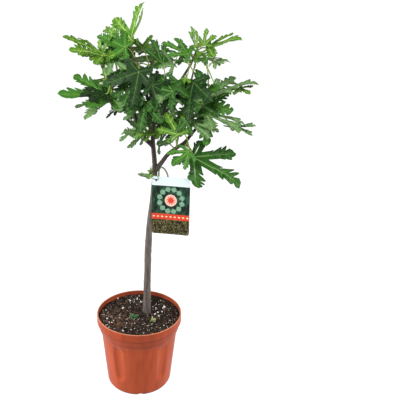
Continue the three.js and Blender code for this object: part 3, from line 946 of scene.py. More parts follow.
@dataclass
class Pot:
    """The nursery pot: a lip band over a collar cone, and a tapering wall with shallow flutes.

    Attributes:
        lip_step, collar_step: how far each band stands out over what is below it.
        ledge, ledge_share: height of the ledge on the cone, and how far out it lies towards the lip.
        flute_first, drain_first: turn of the first flute, and of the first notch at the foot.
    """

    height: float = 186
    lip_radius: float = 100
    lip_height: float = 20
    lip_step: float = 2.0
    collar_height: float = 25
    collar_radius: float = 89.8
    collar_step: float = 1.3
    ledge: float = 148
    ledge_share: float = 0.28
    foot_radius: float = 76.7
    foot_rise: float = 6.6
    base_radius: float = 73
    wall: float = 2.8
    floor: float = 5
    flutes: int = 5
    flute_first: float = -51.5
    flute_half_width: float = 13.5
    flute_depth: float = 3.6
    flute_low: float = 36
    flute_high: float = 138
    drains: int = 6
    drain_first: float = -88
    drain_half_width: float = 7
    drain_depth: float = 4
    drain_rise: float = 5
    recess: float = 1.6
    recess_radius: float = 60
    sides: int = 360
    pitch: float = 2.6

    def outline(self) -> np.ndarray:
        """The pot's section from the middle of its underside, up the outside and down inside.

        Returns:
            Radius and height of each point.
        """
        lip_foot = self.height - self.lip_height
        collar_foot = lip_foot - self.collar_height
        inner = self.lip_radius - self.wall
        slope = (self.collar_radius - self.foot_radius) / (collar_foot - self.foot_rise)
        ledge_radius = self.collar_radius + self.ledge_share * (self.lip_radius - self.collar_radius)
        # Each corner's radius, height and ease of its rounding.
        corners = [
            (0, self.recess, 0),
            (self.recess_radius - 2, self.recess, 1),
            (self.recess_radius, 0, 0.6),
            (self.base_radius, 0, 3),
            (self.foot_radius, self.foot_rise, 2),
            (self.collar_radius - slope * 2, collar_foot - 2, 1.5),
            (self.collar_radius + self.collar_step, collar_foot, 0.4),
            (ledge_radius, self.ledge, 0.5),
            (ledge_radius + self.collar_step, self.ledge + 0.8, 0.3),
            (self.lip_radius - self.lip_step, lip_foot - 1.5, 0.8),
            (self.lip_radius - self.lip_step, lip_foot, 0.3),
            (self.lip_radius, lip_foot + 0.6, 0.4),
            (self.lip_radius, self.height, 1.3),
            (inner, self.height, 1),
            (inner, lip_foot, 1),
            (self.collar_radius - self.wall, collar_foot, 1),
            (self.foot_radius - self.wall, self.foot_rise, 1),
            (self.base_radius - self.wall, self.floor, 1),
            (0, self.floor, 0),
        ]
        return filled(rounded(corners), self.pitch)

    def dent(self, turn: np.ndarray, height: np.ndarray) -> np.ndarray:
        """How far the wall is pressed in.

        Formula: a flute is depth (1 - r^2), where r is the distance from the flute's middle line over
        its half width; a drain mouth is a round arch at the foot.

        Args:
            turn: degrees round the pot.
            height: height above the floor.

        Returns:
            The depth at each point.
        """
        middle = (self.flute_low + self.flute_high) / 2
        straight = (self.flute_high - self.flute_low) / 2 - self.flute_half_width
        across = self.arc_from(turn, self.flute_first, self.flutes)
        beyond = np.maximum(np.abs(height - middle) - straight, 0)
        flute = np.clip(1 - (across**2 + beyond**2) / self.flute_half_width**2, 0, 1)
        away = self.arc_from(turn, self.drain_first, self.drains) / self.drain_half_width
        arch = np.clip(1 - away**2 - (height / self.drain_rise) ** 2, 0, 1)
        return self.flute_depth * flute + self.drain_depth * np.sqrt(arch)

    def arc_from(self, turn: np.ndarray, first: float, count: int) -> np.ndarray:
        """The distance round the wall from the nearest of evenly spread marks.

        Args:
            turn: degrees round the pot.
            first: turn of the first mark.
            count: how many marks.

        Returns:
            The distance at each turn, below 0 on one side of its mark.
        """
        pitch = 360 / count
        offset = (turn - first + pitch / 2) % pitch - pitch / 2
        return np.radians(offset) * (self.collar_radius + self.foot_radius) / 2

    def build(self) -> None:
        """Makes the pot's shell."""
        outline = self.outline()
        radius, height = outline[:, :1], outline[:, 1:]
        turn = np.linspace(0, 360, self.sides, endpoint=False)[None]
        radius = radius - (radius > self.recess_radius) * self.dent(turn, height)
        angle = np.radians(turn)
        points = np.stack([radius * np.cos(angle), radius * np.sin(angle), height + 0 * angle], -1)
        shell = Surface.sheets(points, wrap=True, flip=True).welded()
        shell.piece("pot_shell", [PotPlastic().material()], "pot_shell", ["pot"])


@dataclass
class Filling:
    """The soil: a crumbly surface with perlite, bits of bark and two self-sown seedlings.

    Attributes:
        edge_drop, edge_width: how far it falls at the wall, and over what width.
        narrowing: share of its radius that is left at its foot.
        layers: cell and height of each layer of the surface's noise.
        grains: the large grains of perlite, as place across, place along and radius.
        seeds: the two weeds, as name, place across and along, leaflets, length and green.
    """

    top: float = 175
    edge_drop: float = -1
    edge_width: float = 18
    radius: float = 96.4
    narrowing: float = 0.84
    depth: float = 60
    trunk: Pair = (18, 18)
    mound: float = 2
    mound_reach: float = 18
    layers: tuple[Pair, ...] = ((22, 1.4), (8, 1.1), (3.5, 0.7))
    settled: float = 0.8
    rings: int = 70
    sides: int = 220
    crumbs: int = 1300
    crumb_sizes: Pair = (0.9, 3.2)
    dust: int = 230
    dust_sizes: Pair = (0.4, 1.3)
    chips: int = 60
    margin: float = 4
    seed: int = 4
    grains: tuple[Triple, ...] = (
        (-39.8, 33.1, 2.9), (-23.3, 67.6, 2.4), (-6, 74.3, 2.2), (4, 62, 1.9), (37.4, 4.2, 2.6),
        (30, -8, 2.2), (25.5, 16, 1.7), (62.5, 35.7, 3.4), (58, 31, 2.4), (46, -4, 2.3),
        (-37.5, -62.3, 2.9), (-76, -11.5, 2.2), (-71, -28.5, 2.0), (53.7, 65.6, 1.8), (40.3, 29, 2.1),
        (16, 57, 1.8), (54.5, 15.2, 2.0), (-54, 78, 1.8), (72, -24.4, 1.7), (-19, -59, 1.9),
        (57, -45, 1.8), (44, 12, 1.9), (33, 36, 1.6), (-80, 24, 1.8),
    )
    seeds: tuple[tuple[str, float, float, int, float, Colour], ...] = (
        ("seedling_left", -13, -9, 15, 15, "4a6a42"),
        ("seedling_right", 33, -23, 11, 12, "86955a"),
    )

    def __post_init__(self) -> None:
        """Starts the source of chance for what lies on the soil."""
        self.rng: Chance = np.random.default_rng(self.seed)

    def level(self, x: np.ndarray, y: np.ndarray) -> np.ndarray:
        """Height of the soil.

        Formula: flat in the middle and eased to another level at the wall, with a bell-shaped mound at
        the trunk, and one layer of lattice noise on another.

        Args:
            x: places across.
            y: places along.

        Returns:
            The height at each place.
        """
        rng = np.random.default_rng(self.seed)
        away = np.hypot(x, y)
        fall = self.edge_drop * ease(away, self.radius - self.edge_width, self.radius)
        to_trunk = (x - self.trunk[0]) ** 2 + (y - self.trunk[1]) ** 2
        mound = self.mound * np.exp(-to_trunk / self.mound_reach**2)
        shift, wrap = 50, 64
        rough = sum(
            size * patches(x / cell + shift, y / cell + shift, rng, wrap) for cell, size in self.layers
        )
        return self.top - fall + mound + rough - self.settled

    def ground(self) -> Surface:
        """The soil's skin, closed below.

        Formula: rings whose radius grows as the 0.8th power of their number, so that they are closer
        at the wall.

        Returns:
            The surface.
        """
        share = np.linspace(0, 1, self.rings)[:, None] ** 0.8
        angle = circle(self.sides)[None]
        x, y = share * self.radius * np.cos(angle), share * self.radius * np.sin(angle)
        skin = np.stack([x, y, self.level(x, y)], -1)
        low = skin[-1:] * self.narrowing
        middle = np.zeros_like(low)
        low[..., 2] = middle[..., 2] = self.top - self.depth
        return Surface.sheets(np.concatenate([skin, low, middle]), wrap=True).welded()

    def spots(self, count: int, sunk: float) -> np.ndarray:
        """Places spread evenly over the soil, a little sunk in it.

        Args:
            count: how many.
            sunk: how far below the surface.

        Returns:
            One row of three numbers for each.
        """
        away = (self.radius - self.margin) * np.sqrt(self.rng.uniform(0, 1, count))
        angle = self.rng.uniform(0, 2 * np.pi, count)
        x, y = away * np.cos(angle), away * np.sin(angle)
        return np.stack([x, y, self.level(x, y) - sunk], -1)

    def lumps(self, spots: np.ndarray, sizes: np.ndarray, squash: float = 0.8) -> Surface:
        """Small uneven balls.

        Formula: size (1 + chance) (cos(b) cos(a), cos(b) sin(a), squash sin(b)) about each spot, and
        then the height is sheared by chance along both level directions.

        Args:
            spots: their middles.
            sizes: their radii.
            squash: height over width.

        Returns:
            All the balls as one surface.
        """
        rows, sides, uneven, shear = 5, 7, 0.28, 0.35
        b = np.linspace(-np.pi / 2, np.pi / 2, rows)[None, :, None]
        a = circle(sides)[None, None]
        stretch = 1 + self.rng.uniform(-uneven, uneven, (len(spots), rows, sides))
        stretch[:, [0, -1]] = 1
        size = sizes[:, None, None] * stretch
        x, y, z = size * np.cos(b) * np.cos(a), size * np.cos(b) * np.sin(a), size * squash * np.sin(b)
        lean = self.rng.normal(0, shear, (len(spots), 1, 1, 2))
        ball = np.stack([x, y, z + (x * lean[..., 0] + y * lean[..., 1])], -1)
        return Surface.sheets(ball + spots[:, None, None], wrap=True, flip=True).welded()

    def build(self) -> None:
        """Makes the soil and what lies on it."""
        self.ground().piece("soil_bed", [PottingSoil().material()], "soil", ["soil"])
        spots = self.spots(self.crumbs, 0.4)
        crumbs = self.lumps(spots, self.rng.uniform(*self.crumb_sizes, self.crumbs))
        peat = Mottled("peat_crumb", "0f0b0a", "51433a", 150, 0.95, 0.4, gloss=0.08)
        crumbs.piece("soil_crumbs", [peat.material()], "soil")
        x, y, sizes = np.array(self.grains).T
        large = np.stack([x, y, self.level(x, y) + 0.3 * sizes], -1)
        spots = np.vstack([large, self.spots(self.dust, -0.3)])
        sizes = np.concatenate([sizes, self.rng.uniform(*self.dust_sizes, self.dust)])
        white = Mottled("perlite", "f4f1ec", "cfc8bd", 300, 0.9, 0.3)
        self.lumps(spots, sizes, 0.9).piece("perlite_grains", [white.material()], "soil")
        chip = Mottled("chip", "7a5a3c", "3a291c", 220)
        self.bark_chips().piece("bark_chips", [chip.material()], "soil")
        self.seedlings()

    def bark_chips(self) -> Surface:
        """Slivers of bark and root, each a short bent rod.

        Returns:
            All the slivers as one surface.
        """
        rods, steps, sides, chance = [], 6, 6, self.rng.uniform
        for spot in self.spots(self.chips, -0.3):
            way = heading(chance(0, 360), chance(-8, 12)) * chance(4, 9)
            bend = heading(chance(0, 360), 20) * chance(0.3, 1.2)
            path = Spline([spot - way, spot + bend, spot + way]).at(np.linspace(0, 1, steps))
            rods.append(rod(path, chance(0.3, 0.9) * np.ones(steps), sides))
        return Surface.joined(rods)

    def seedlings(self) -> None:
        """Makes the two weeds, each a small rosette."""
        chance = self.rng.uniform
        for name, x, y, count, length, green in self.seeds:
            foot = np.array([x, y, float(self.level(np.array(x), np.array(y))) - 1])
            leaflets = []
            for i in range(count):
                way = heading(GOLDEN * i + chance(-12, 12), chance(25, 60)) * length * chance(0.7, 1.1)
                leaflets.append(self.leaflet(foot, way))
            skin = LeafSkin(name + "_skin", green, 0.55, 0.2).material()
            Surface.joined(leaflets).piece(name, [skin], "leaf")

    @staticmethod
    def leaflet(foot: np.ndarray, way: np.ndarray) -> Surface:
        """A spoon-shaped leaflet on a thin stalk.

        Formula: half width = (stalk + spoon (smooth step of the outer part)) (1 - t^6) of its length,
        a droop of t^2, and sides that are lifted by a quarter of their distance from the middle.

        Args:
            foot: where it starts.
            way: from its foot to its tip, before it droops.

        Returns:
            Its two skins.
        """
        stalk, spoon, droop, lift, thickness, skin = 0.05, 0.26, 0.35, 0.25, 0.3, 0.02
        length = float(np.linalg.norm(way))
        t = np.linspace(0, 1, 9)[:, None]
        half = length * (stalk + spoon * ease(t, 0.35, 0.7)) * (1 - t**6)
        side = unit(np.cross(way, [0, 0, 1.0]))
        across = np.linspace(-1, 1, 5)[None]
        spots = foot + t[..., None] * way + (across * half)[..., None] * side
        spots[..., 2] -= droop * length * t**2 - lift * np.abs(across) * half
        lower = spots.copy()
        lower[..., 2] -= thickness * (1 - across**2) * (1 - t) + skin
        return Surface.joined([Surface.sheets(spots, flip=True), Surface.sheets(lower)])


# ---------- trunk and boughs ----------


@dataclass
class Limb:
    """A woody limb with the relief of its bark.

    Attributes:
        path: what its middle runs through.
        radii: radius at points spread evenly along it.
        replaced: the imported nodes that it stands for.
        collar: how much wider it starts, as a share.
        flare: how far the foot of a trunk spreads.
    """

    name: str
    path: list[Triple]
    radii: list[float]
    replaced: list[str]
    seed: int
    collar: float = 0.35
    flare: float = 0.0
    sides: int = 28
    pitch: float = 2.0
    knots: int = 3

    def relief(self, along: np.ndarray, angle: np.ndarray, radius: np.ndarray) -> np.ndarray:
        """How far the bark stands out from the limb's plain round.

        Formula: lattice noise of long narrow cells for its furrows, wide cells for its swellings, a
        thin ridge round the limb at each old leaf scar, and a bump with a dent in it at each knot.

        Args:
            along: distance from the foot of the limb, one row for each ring.
            angle: angle round the limb, one column for each corner.
            radius: plain radius of each ring.

        Returns:
            The height of the relief.
        """
        furrow, swell, scar, knot, eye = 0.03, 0.05, 0.055, 0.24, 0.12
        scar_first, scar_last, scar_step, scar_width = 14, 6, 27, 1.1
        rng = np.random.default_rng(self.seed)
        turns = angle / (2 * np.pi)
        furrows = patches(turns * 16, along / 9, rng, 16)
        swells = patches(turns * 4 + 0.3 * along / 40, along / 22, rng, 4)
        height = furrow * radius * furrows + swell * radius * swells
        reach = float(along[-1, 0])
        scars = np.arange(scar_first, max(reach - scar_last, scar_first + 1), scar_step)
        for spot in scars + rng.uniform(-7, 7, len(scars)):
            lean = 1.5 * np.sin(angle + rng.uniform(0, 6.3))
            height = height + scar * radius * np.exp(-(((along - spot - lean) / scar_width) ** 2))
        for _ in range(self.knots):
            spot, turn = rng.uniform(0.12, 0.9) * reach, rng.uniform(0, 2 * np.pi)
            near = ((along - spot) / (0.75 * radius)) ** 2 + ((1 - np.cos(angle - turn)) / 0.14)
            height = height + radius * (knot * np.exp(-near) - eye * np.exp(-near * 7))
        return height

    def build(self, bark: Material) -> None:
        """Makes the limb.

        Formula: the radius falls off from the collar and the flare by e^(-distance / reach), waves
        round the foot where it flares, and closes over the tip as the root of the distance to it.

        Args:
            bark: its finish.
        """
        collar_reach, flare_reach, tip_reach = 7, 9, 2
        spline = Spline(self.path)
        share = np.linspace(0, 1, int(spline.length / self.pitch) + 2)
        along = (share * spline.length)[:, None]
        radius = np.interp(share, np.linspace(0, 1, len(self.radii)), self.radii)[:, None]
        radius = radius * (1 + self.collar * np.exp(-along / collar_reach))
        angle = circle(self.sides)[None]
        waves = 0.7 + 0.3 * np.sin(3 * angle + 1) + 0.2 * np.sin(5 * angle)
        spread = self.flare * np.exp(-along / flare_reach) * waves
        tip = np.minimum(1, (spline.length - along + 0.4) / tip_reach) ** 0.5
        radii = (radius + self.relief(along, angle, radius) + spread) * tip
        wood = rod(spline.at(share), radii, self.sides)
        wood.piece(f"bark_{self.name}", [bark], "bark", self.replaced)


LIMBS = [
    Limb(
        "trunk",
        [(18, 18, 170), (18.3, 17, 210), (19, 15, 290), (22, 11, 396), (31, 6, 496), (33, 3, 548),
         (28, 0, 613), (29, 1, 668), (25, 5, 702), (18, 6, 722), (13, 6, 742)],
        [9.4, 8.6, 8.3, 8.0, 7.3, 6.4, 6.1, 5.3, 4.4, 3.6, 3.0],
        ["trunk", "bough_leader"], 1, collar=0, flare=2.4, sides=48, pitch=2.4, knots=7,
    ),
    Limb(
        "bough_right",
        [(35, 3, 545), (46, 0, 560), (61, -5, 583), (96, -18, 615), (109, -20, 633), (133, -24, 667)],
        [5.2, 4.6, 4.2, 3.8, 3.2, 2.8], ["bough_right", "bough_right_upper"], 2,
    ),
    Limb(
        "bough_left",
        [(28, 0, 602), (13, -3, 615), (1, -8, 640), (-12, -12, 676), (-15, -14, 700), (-12, -15, 723)],
        [5, 4.6, 4.2, 3.8, 3.4, 3], ["bough_left", "bough_left_upper"], 3,
    ),
    Limb(
        "bough_crest",
        [(28, 3, 684), (49, 12, 706), (82, 20, 732)], [3.4, 3, 2.6], ["bough_crest"], 4, knots=2,
    ),
    Limb(
        "bough_back_left",
        [(28, 0, 628), (8, 36, 655), (-26, 74, 690)], [4, 3.4, 2.8], ["bough_back_left"], 5,
    ),
    Limb(
        "bough_back_right",
        [(29, 0, 648), (52, 34, 662), (92, 72, 690)], [4, 3.4, 2.8], ["bough_back_right"], 6,
    ),
]


# ---------- leaves ----------


@dataclass(frozen=True)
class Lobe:
    """One lobe of a blade.

    Attributes:
        turn: degrees from the middle rib.
        reach: its length as a share of the blade's.
        teeth: teeth on either side, the last of which is the tip.
        width: half width as a share of its own length.
        right, left: the lobe beyond each side, or None for the heel behind the joint.
    """

    turn: float
    reach: float
    teeth: int
    width: float
    right: int | None
    left: int | None


@dataclass
class Leaves:
    """Leaves of one shoot, with one entry in each array for each leaf.

    Attributes:
        place: where its stalk leaves the stem, as a share.
        joint: where stalk and blade meet.
        turn, pitch, roll: the blade's direction.
        length: from the joint to the middle lobe's tip.
        sag: how far the sides hang.
        lean: how far the side lobes are turned outwards.
        seed: whole number behind its chance values.
        tone: number of its green.
    """

    place: np.ndarray
    joint: np.ndarray
    turn: np.ndarray
    pitch: np.ndarray
    length: np.ndarray
    roll: np.ndarray
    sag: np.ndarray
    lean: np.ndarray
    seed: np.ndarray
    tone: np.ndarray

    @staticmethod
    def gathered(rows: Sequence[Sequence[object]]) -> "Leaves":
        """One table from rows that each hold a leaf's values in order."""
        return Leaves(*(np.array(column, float) for column in zip(*rows)))

    def axes(self) -> tuple[np.ndarray, np.ndarray, np.ndarray]:
        """The blades' directions.

        Returns:
            Along the middle rib, to its left, and out of the upper face, one row for each leaf.
        """
        along, flat = heading(self.turn, self.pitch), heading(self.turn, self.pitch + 90)
        roll = np.radians(self.roll)[:, None]
        face = flat * np.cos(roll) + np.cross(along, flat) * np.sin(roll)
        return along, np.cross(face, along), face


@dataclass
class Blade:
    """How a leaf's blade is shaped. Sizes are shares of the blade's length unless told otherwise.

    Attributes:
        sinus_long, sinus_short, heel: how far out the notches lie between the long lobes, beside the
            short ones, whose reach is under short_reach, and behind the joint.
        cup, bow: how steeply a lobe's halves rise from its rib, and the arch from joint to tips.
        rib_most: the most of a half lobe that its rib takes up.
        tooth_from, widest, round_from: shares of a lobe's edge at which the teeth have their full
            depth, the lobe has its full width and its tip starts to round off.
        swerve, twist, droop: how far a lobe bends aside, up or down, and down at its tip.
        foot_marks, tooth_marks, rows: the grid's columns inside the notches and in a tooth, and its rows.
        tooth_profile, tooth_peak: how far out the edge lies at each, and where the side vein ends.
    """

    sinus_long: float = 0.28
    sinus_short: float = 0.2
    short_reach: float = 0.6
    heel: float = 0.07
    cup: float = 0.2
    bow: float = 0.02
    jitter_turn: float = 5
    jitter_reach: float = 0.06
    jitter_from: int = 9
    rib_foot: float = 0.011
    rib_tip: float = 0.003
    rib_depth: float = 0.011
    rib_most: float = 0.45
    skin: float = 0.0028
    tooth_depth: float = 0.5
    tooth_chance: float = 0.5
    tooth_spread: float = 0.3
    tooth_hook: float = 0.4
    tooth_from: float = 0.3
    widest: float = 0.55
    round_from: float = 0.5
    round_power: float = 0.9
    forward: float = 0.6
    quilt: float = 0.02
    ripple: float = 0.016
    ripples: float = 1.6
    swerve: float = 0.05
    twist: float = 0.04
    droop: float = 0.04
    foot_marks: tuple[float, ...] = (0, 0.4, 0.75, 1)
    tooth_marks: tuple[float, ...] = (0.26, 0.585, 0.625, 0.88, 1)
    tooth_profile: tuple[float, ...] = (0.72, 1, 1, 0.7, 0)
    tooth_peak: float = 0.6
    rows: tuple[float, ...] = (0, 0.3, 0.65, 1)
    lobes: tuple[Lobe, ...] = (
        Lobe(0, 1, 4, 0.19, 2, 1),
        Lobe(45, 0.82, 4, 0.205, 0, 3),
        Lobe(-45, 0.82, 4, 0.205, 4, 0),
        Lobe(100, 0.46, 3, 0.28, 1, None),
        Lobe(-100, 0.46, 3, 0.28, None, 2),
    )

    def turns(self, leaves: Leaves) -> np.ndarray:
        """Turn of each lobe from the middle rib.

        Args:
            leaves: the leaves.

        Returns:
            Degrees, as (leaves, lobes).
        """
        number = np.arange(len(self.lobes))
        plain = np.array([lobe.turn for lobe in self.lobes])
        chance = self.jitter_turn * wobble(leaves.seed[:, None], number)
        swing = np.sign(plain) * leaves.lean[:, None] + chance
        return plain + np.where(number > 0, swing, 0)

    def lengths(self, leaves: Leaves) -> np.ndarray:
        """Length of each lobe.

        Args:
            leaves: the leaves.

        Returns:
            Millimetres, as (leaves, lobes).
        """
        number = np.arange(len(self.lobes))
        reach = np.array([lobe.reach for lobe in self.lobes])
        stretch = self.jitter_reach * wobble(leaves.seed[:, None], number + self.jitter_from)
        return leaves.length[:, None] * reach * (1 + np.where(number > 0, stretch, 0))

    def notch(self, leaves: Leaves, number: int, side: int) -> tuple[np.ndarray, np.ndarray]:
        """Where the notch beside a lobe lies.

        Args:
            leaves: the leaves.
            number: which lobe.
            side: 1 for its left, -1 for its right.

        Returns:
            Distances along the lobe's rib and out from it, as (leaves, 1).
        """
        turns = self.turns(leaves)
        lobe = self.lobes[number]
        beyond = lobe.left if side > 0 else lobe.right
        if beyond is None:
            gap, sinus = 180 - np.abs(turns[:, number]), self.heel
        else:
            gap = np.abs(turns[:, beyond] - turns[:, number]) / 2
            least = min(lobe.reach, self.lobes[beyond].reach)
            sinus = self.sinus_short if least < self.short_reach else self.sinus_long
        gap = np.radians(gap)[:, None]
        size = leaves.length[:, None]
        return sinus * size * np.cos(gap), sinus * size * np.sin(gap)

    def half_lobe(self, leaves: Leaves, number: int, side: int) -> tuple[np.ndarray, np.ndarray]:
        """Half of one lobe of every leaf, from its rib to its toothed edge.

        Formula: the edge first runs along the line that halves the angle to the next lobe, out to the
        notch. From there its half width rises by a smooth step from the notch's to the lobe's own and
        rounds off at the tip as (1 - t^2)^power over its outer part. Each tooth rises slowly and falls
        fast, and leans forward. Between rib and edge the blade lifts by cup times the distance, bulges
        between the side veins and ripples at the edge.

        Args:
            leaves: the leaves.
            number: which lobe.
            side: 1 for its left half, -1 for its right.

        Returns:
            Places of the middle of the blade as (leaves, columns, rows, 3), along, left and up from
            the joint, and the half thickness of the upper and lower skins, as (2, leaves, columns, rows).
        """
        lobe = self.lobes[number]
        seed, size = leaves.seed[:, None], leaves.length[:, None]
        turns, reach = self.turns(leaves), self.lengths(leaves)[:, number, None]
        notch_along, notch_out = self.notch(leaves, number, side)

        # The outline: where each column starts on the rib, and where it ends at the edge. The numbers
        # that are added to a seed and put beside it keep the chance values apart.
        foot = np.tile(self.foot_marks, (len(leaves.seed), 1))
        ends = np.arange(lobe.teeth + 1)[None]
        inside = (ends > 0) & (ends < lobe.teeth)
        ends = (ends + self.tooth_spread * wobble(seed + 7 * side, ends + 13 * number) * inside) / lobe.teeth
        tooth = np.repeat(np.arange(lobe.teeth), len(self.tooth_marks))
        phase = np.tile(self.tooth_marks, lobe.teeth)[None]
        q = ends[:, tooth] + phase * (ends[:, tooth + 1] - ends[:, tooth])
        rise = np.tile(self.tooth_profile, lobe.teeth)[None]
        chance = 1 + self.tooth_chance * wobble(seed + 3 * side, tooth + 11 * number)
        deep = self.tooth_depth * chance * ease(q, 0, self.tooth_from)
        grown = ease(q, 0, self.widest)
        outer = np.clip((q - self.round_from) / (1 - self.round_from), 0, 1)
        tip = (1 - outer**2) ** self.round_power
        out = (notch_out * (1 - grown) + lobe.width * reach * grown) * tip * (1 - deep * (1 - rise))
        rib = notch_along + (reach - notch_along) * q
        hook = self.tooth_hook * rise * reach / lobe.teeth * (1 - q) ** 0.5
        along = rib + self.forward * out * (1 - q) + hook

        rib = np.concatenate([foot * notch_along, rib], 1)[..., None]
        edge_along = np.concatenate([foot * notch_along, along], 1)[..., None]
        edge_out = np.concatenate([foot * notch_out, out], 1)[..., None]
        run = np.concatenate([0 * foot, q], 1)[..., None]
        between = np.concatenate([0 * foot, (phase - self.tooth_peak) % 1 + 0 * q], 1)[..., None]

        # The grid: the first row lies on the rib's middle, the next on its edge.
        size, reach = size[..., None], reach[..., None]
        share = rib / reach
        vein = size * (self.rib_tip + (self.rib_foot - self.rib_tip) * (1 - share)) * lobe.reach**0.5
        first = np.minimum(vein / np.maximum(edge_out, 1e-6), self.rib_most)
        h = np.concatenate([0 * first, first + (1 - first) * np.array(self.rows)], -1)
        x = rib + h * (edge_along - rib)
        # 0 at the notch and at the tip, and 1 at two thirds of the way.
        bend = 6.75 * run**2 * (1 - run)
        y = side * h * edge_out + self.swerve * reach * wobble(seed, 30 + number)[..., None] * bend

        # The height over the plane of the blade.
        lift = self.cup * np.abs(h * edge_out) * ease(x / size, 0, 0.3)
        lift = lift + self.quilt * size * np.sin(np.pi * between) * 4 * h * (1 - h) * ease(run, 0, 0.2)
        waves = np.sin(2 * np.pi * (self.ripples * run + wobble(seed, 40 + number + side)[..., None]))
        lift = lift + self.ripple * size * h**2 * waves * run
        lift = lift + self.twist * reach * wobble(seed, 50 + number)[..., None] * bend
        lift = lift - self.droop * reach * run**3

        thin = np.minimum(1, edge_out / 2) * np.ones_like(h)
        upper = self.skin * size * (1 - h) * thin
        lower = upper.copy()
        lower[..., 0] = (self.rib_depth * size * np.maximum(1 - share, 0) ** 0.5)[..., 0]
        turn = np.radians(turns[:, number])[:, None, None]
        flat_x, flat_y = x * np.cos(turn) - y * np.sin(turn), x * np.sin(turn) + y * np.cos(turn)
        away = np.hypot(flat_x, flat_y) / size
        sag = leaves.sag[:, None, None]
        lift = lift + 4 * self.bow * size * away * (1 - away) - sag * flat_y**2 / size
        return np.stack([flat_x, flat_y, lift], -1), np.stack([upper, lower])

    def cells(self, number: int) -> np.ndarray:
        """What each cell of a half lobe is.

        Args:
            number: which lobe.

        Returns:
            0 for blade, 1 for blade beside the rib and 2 for rib or vein, as (columns, rows).
        """
        feet, marks, teeth = len(self.foot_marks), len(self.tooth_marks), self.lobes[number].teeth
        kind = np.zeros((feet - 1 + teeth * marks, len(self.rows)), int)
        kind[:, 1] = 1
        veins = feet + 1 + marks * np.arange(teeth - 1)
        kind[veins, :-1] = 2
        kind[:, 0] = 2
        return kind

    def skins(self, leaves: Leaves) -> tuple[Surface, Surface]:
        """The upper and the lower skins of the leaves.

        Args:
            leaves: the leaves.

        Returns:
            The two surfaces. A triangle's slot is 3 times its leaf's tone plus the kind of its cell.
        """
        along, left, face = (axis[:, None, None] for axis in leaves.axes())
        joint = leaves.joint[:, None, None]
        sheets: tuple[list[Surface], list[Surface]] = ([], [])
        for number in range(len(self.lobes)):
            slots = 3 * leaves.tone[:, None, None].astype(int) + self.cells(number)
            for side in (1, -1):
                spots, thick = self.half_lobe(leaves, number, side)
                flat = joint + spots[..., :1] * along + spots[..., 1:2] * left
                for skin, sign, half in zip(sheets, (1, -1), thick):
                    height = (spots[..., 2] + sign * half)[..., None]
                    skin.append(Surface.sheets(flat + height * face, slots, flip=side * sign < 0))
        return Surface.joined(sheets[0]).welded(), Surface.joined(sheets[1]).welded()


@dataclass(frozen=True)
class Rule:
    """How leaves are set on a stem where no row gives them, from the tip down.

    Each is turned by the golden angle from the last. Where a leaf has no room it is tried again,
    swung round and smaller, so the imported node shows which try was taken. A pair gives the value at
    the tip and what each node further down adds to it.

    Attributes:
        node_step: distance from node to node, as a share of the stem.
        blade_drop: degrees by which the blade points lower than its stalk.
        tries: swing in degrees and size of each try.
        match: how near a leaf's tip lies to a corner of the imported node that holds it.
    """

    node_step: float = 0.14
    stalk: Pair = (36, 6)
    blade: Pair = (70, 7)
    rise: Pair = (62, -15)
    least_rise: float = -12
    blade_drop: float = 30
    sag: float = 0.25
    shake_rise: float = 8
    shake_roll: float = 12
    tries: tuple[Pair, ...] = (
        (0, 1), (28, 1), (-28, 1), (50, 0.85), (-50, 0.85), (80, 0.75), (-80, 0.75),
    )
    seeds_per_shoot: int = 20
    first_grown: int = 10
    match: float = 1.0


@dataclass
class Shoot:
    """A stem with its leaves.

    Attributes:
        name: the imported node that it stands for.
        path: what the stem runs through.
        rows: leaves given one by one, each with place, joint, turn, pitch, length, roll, sag, lean,
            the number of its seed and tone.
        grown: how many leaves the rule may add.
        turn: where the rule starts.
        tone: the green of the leaves that it adds.
        bare: numbers of its leaves that are left out, where the crown stands open.
    """

    name: str
    path: list[list[float]]
    rows: list[list[object]]
    grown: int = 0
    turn: float = 0
    tone: Tone = Tone.DEEP
    bare: tuple[int, ...] = ()

    def leaf_row(self, rule: Rule, k: int, chance: Pair, seed: int) -> list[object]:
        """The row of the k-th leaf that the rule sets, on one try.

        Args:
            rule: the rule.
            k: how many nodes down from the tip.
            chance: swing and size of the try.
            seed: the leaf's seed.

        Returns:
            The leaf's values in the order of Leaves.
        """
        swing, size = chance
        place = 1 - rule.node_step * k
        turn = self.turn + GOLDEN * k + swing
        rise = max(rule.rise[0] + rule.rise[1] * k, rule.least_rise) + rule.shake_rise * wobble(seed, 3)
        stalk = (rule.stalk[0] + rule.stalk[1] * k) * size
        length = (rule.blade[0] + rule.blade[1] * k) * size
        joint = Spline(self.path).at(place)[0] + heading(turn, rise) * stalk
        roll = rule.shake_roll * wobble(seed, 5)
        return [place, joint, turn, rise - rule.blade_drop, length, roll, rule.sag, 0, seed, self.tone]

    def leaves(self, rule: Rule, order: int) -> Leaves:
        """All the shoot's leaves.

        Args:
            rule: the rule for those that no row gives.
            order: the shoot's place among all shoots.

        Returns:
            The leaves that the rows give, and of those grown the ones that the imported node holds.
        """
        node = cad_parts[self.name].data
        corners = np.empty(3 * len(node.vertices))
        node.vertices.foreach_get("co", corners)
        corners = corners.reshape(-1, 3) / MM
        first = rule.seeds_per_shoot * order
        rows = [[*row[:-2], first + row[-2], row[-1]] for row in self.rows]
        for k in sorted(set(range(self.grown)) - set(self.bare)):
            seed = first + rule.first_grown + k
            for chance in rule.tries:
                row = self.leaf_row(rule, k, chance, seed)
                tip = row[1] + heading(row[2], row[3]) * row[4]
                if np.linalg.norm(corners - tip, axis=1).min() < rule.match:
                    rows.append(row)
                    break
        tones = list(Tone)
        return Leaves.gathered([[*row[:-1], tones.index(row[-1])] for row in rows])


B, F, M, D, K, G = Tone.BRIGHT, Tone.FRESH, Tone.MID, Tone.DEEP, Tone.DARK, Tone.GREY
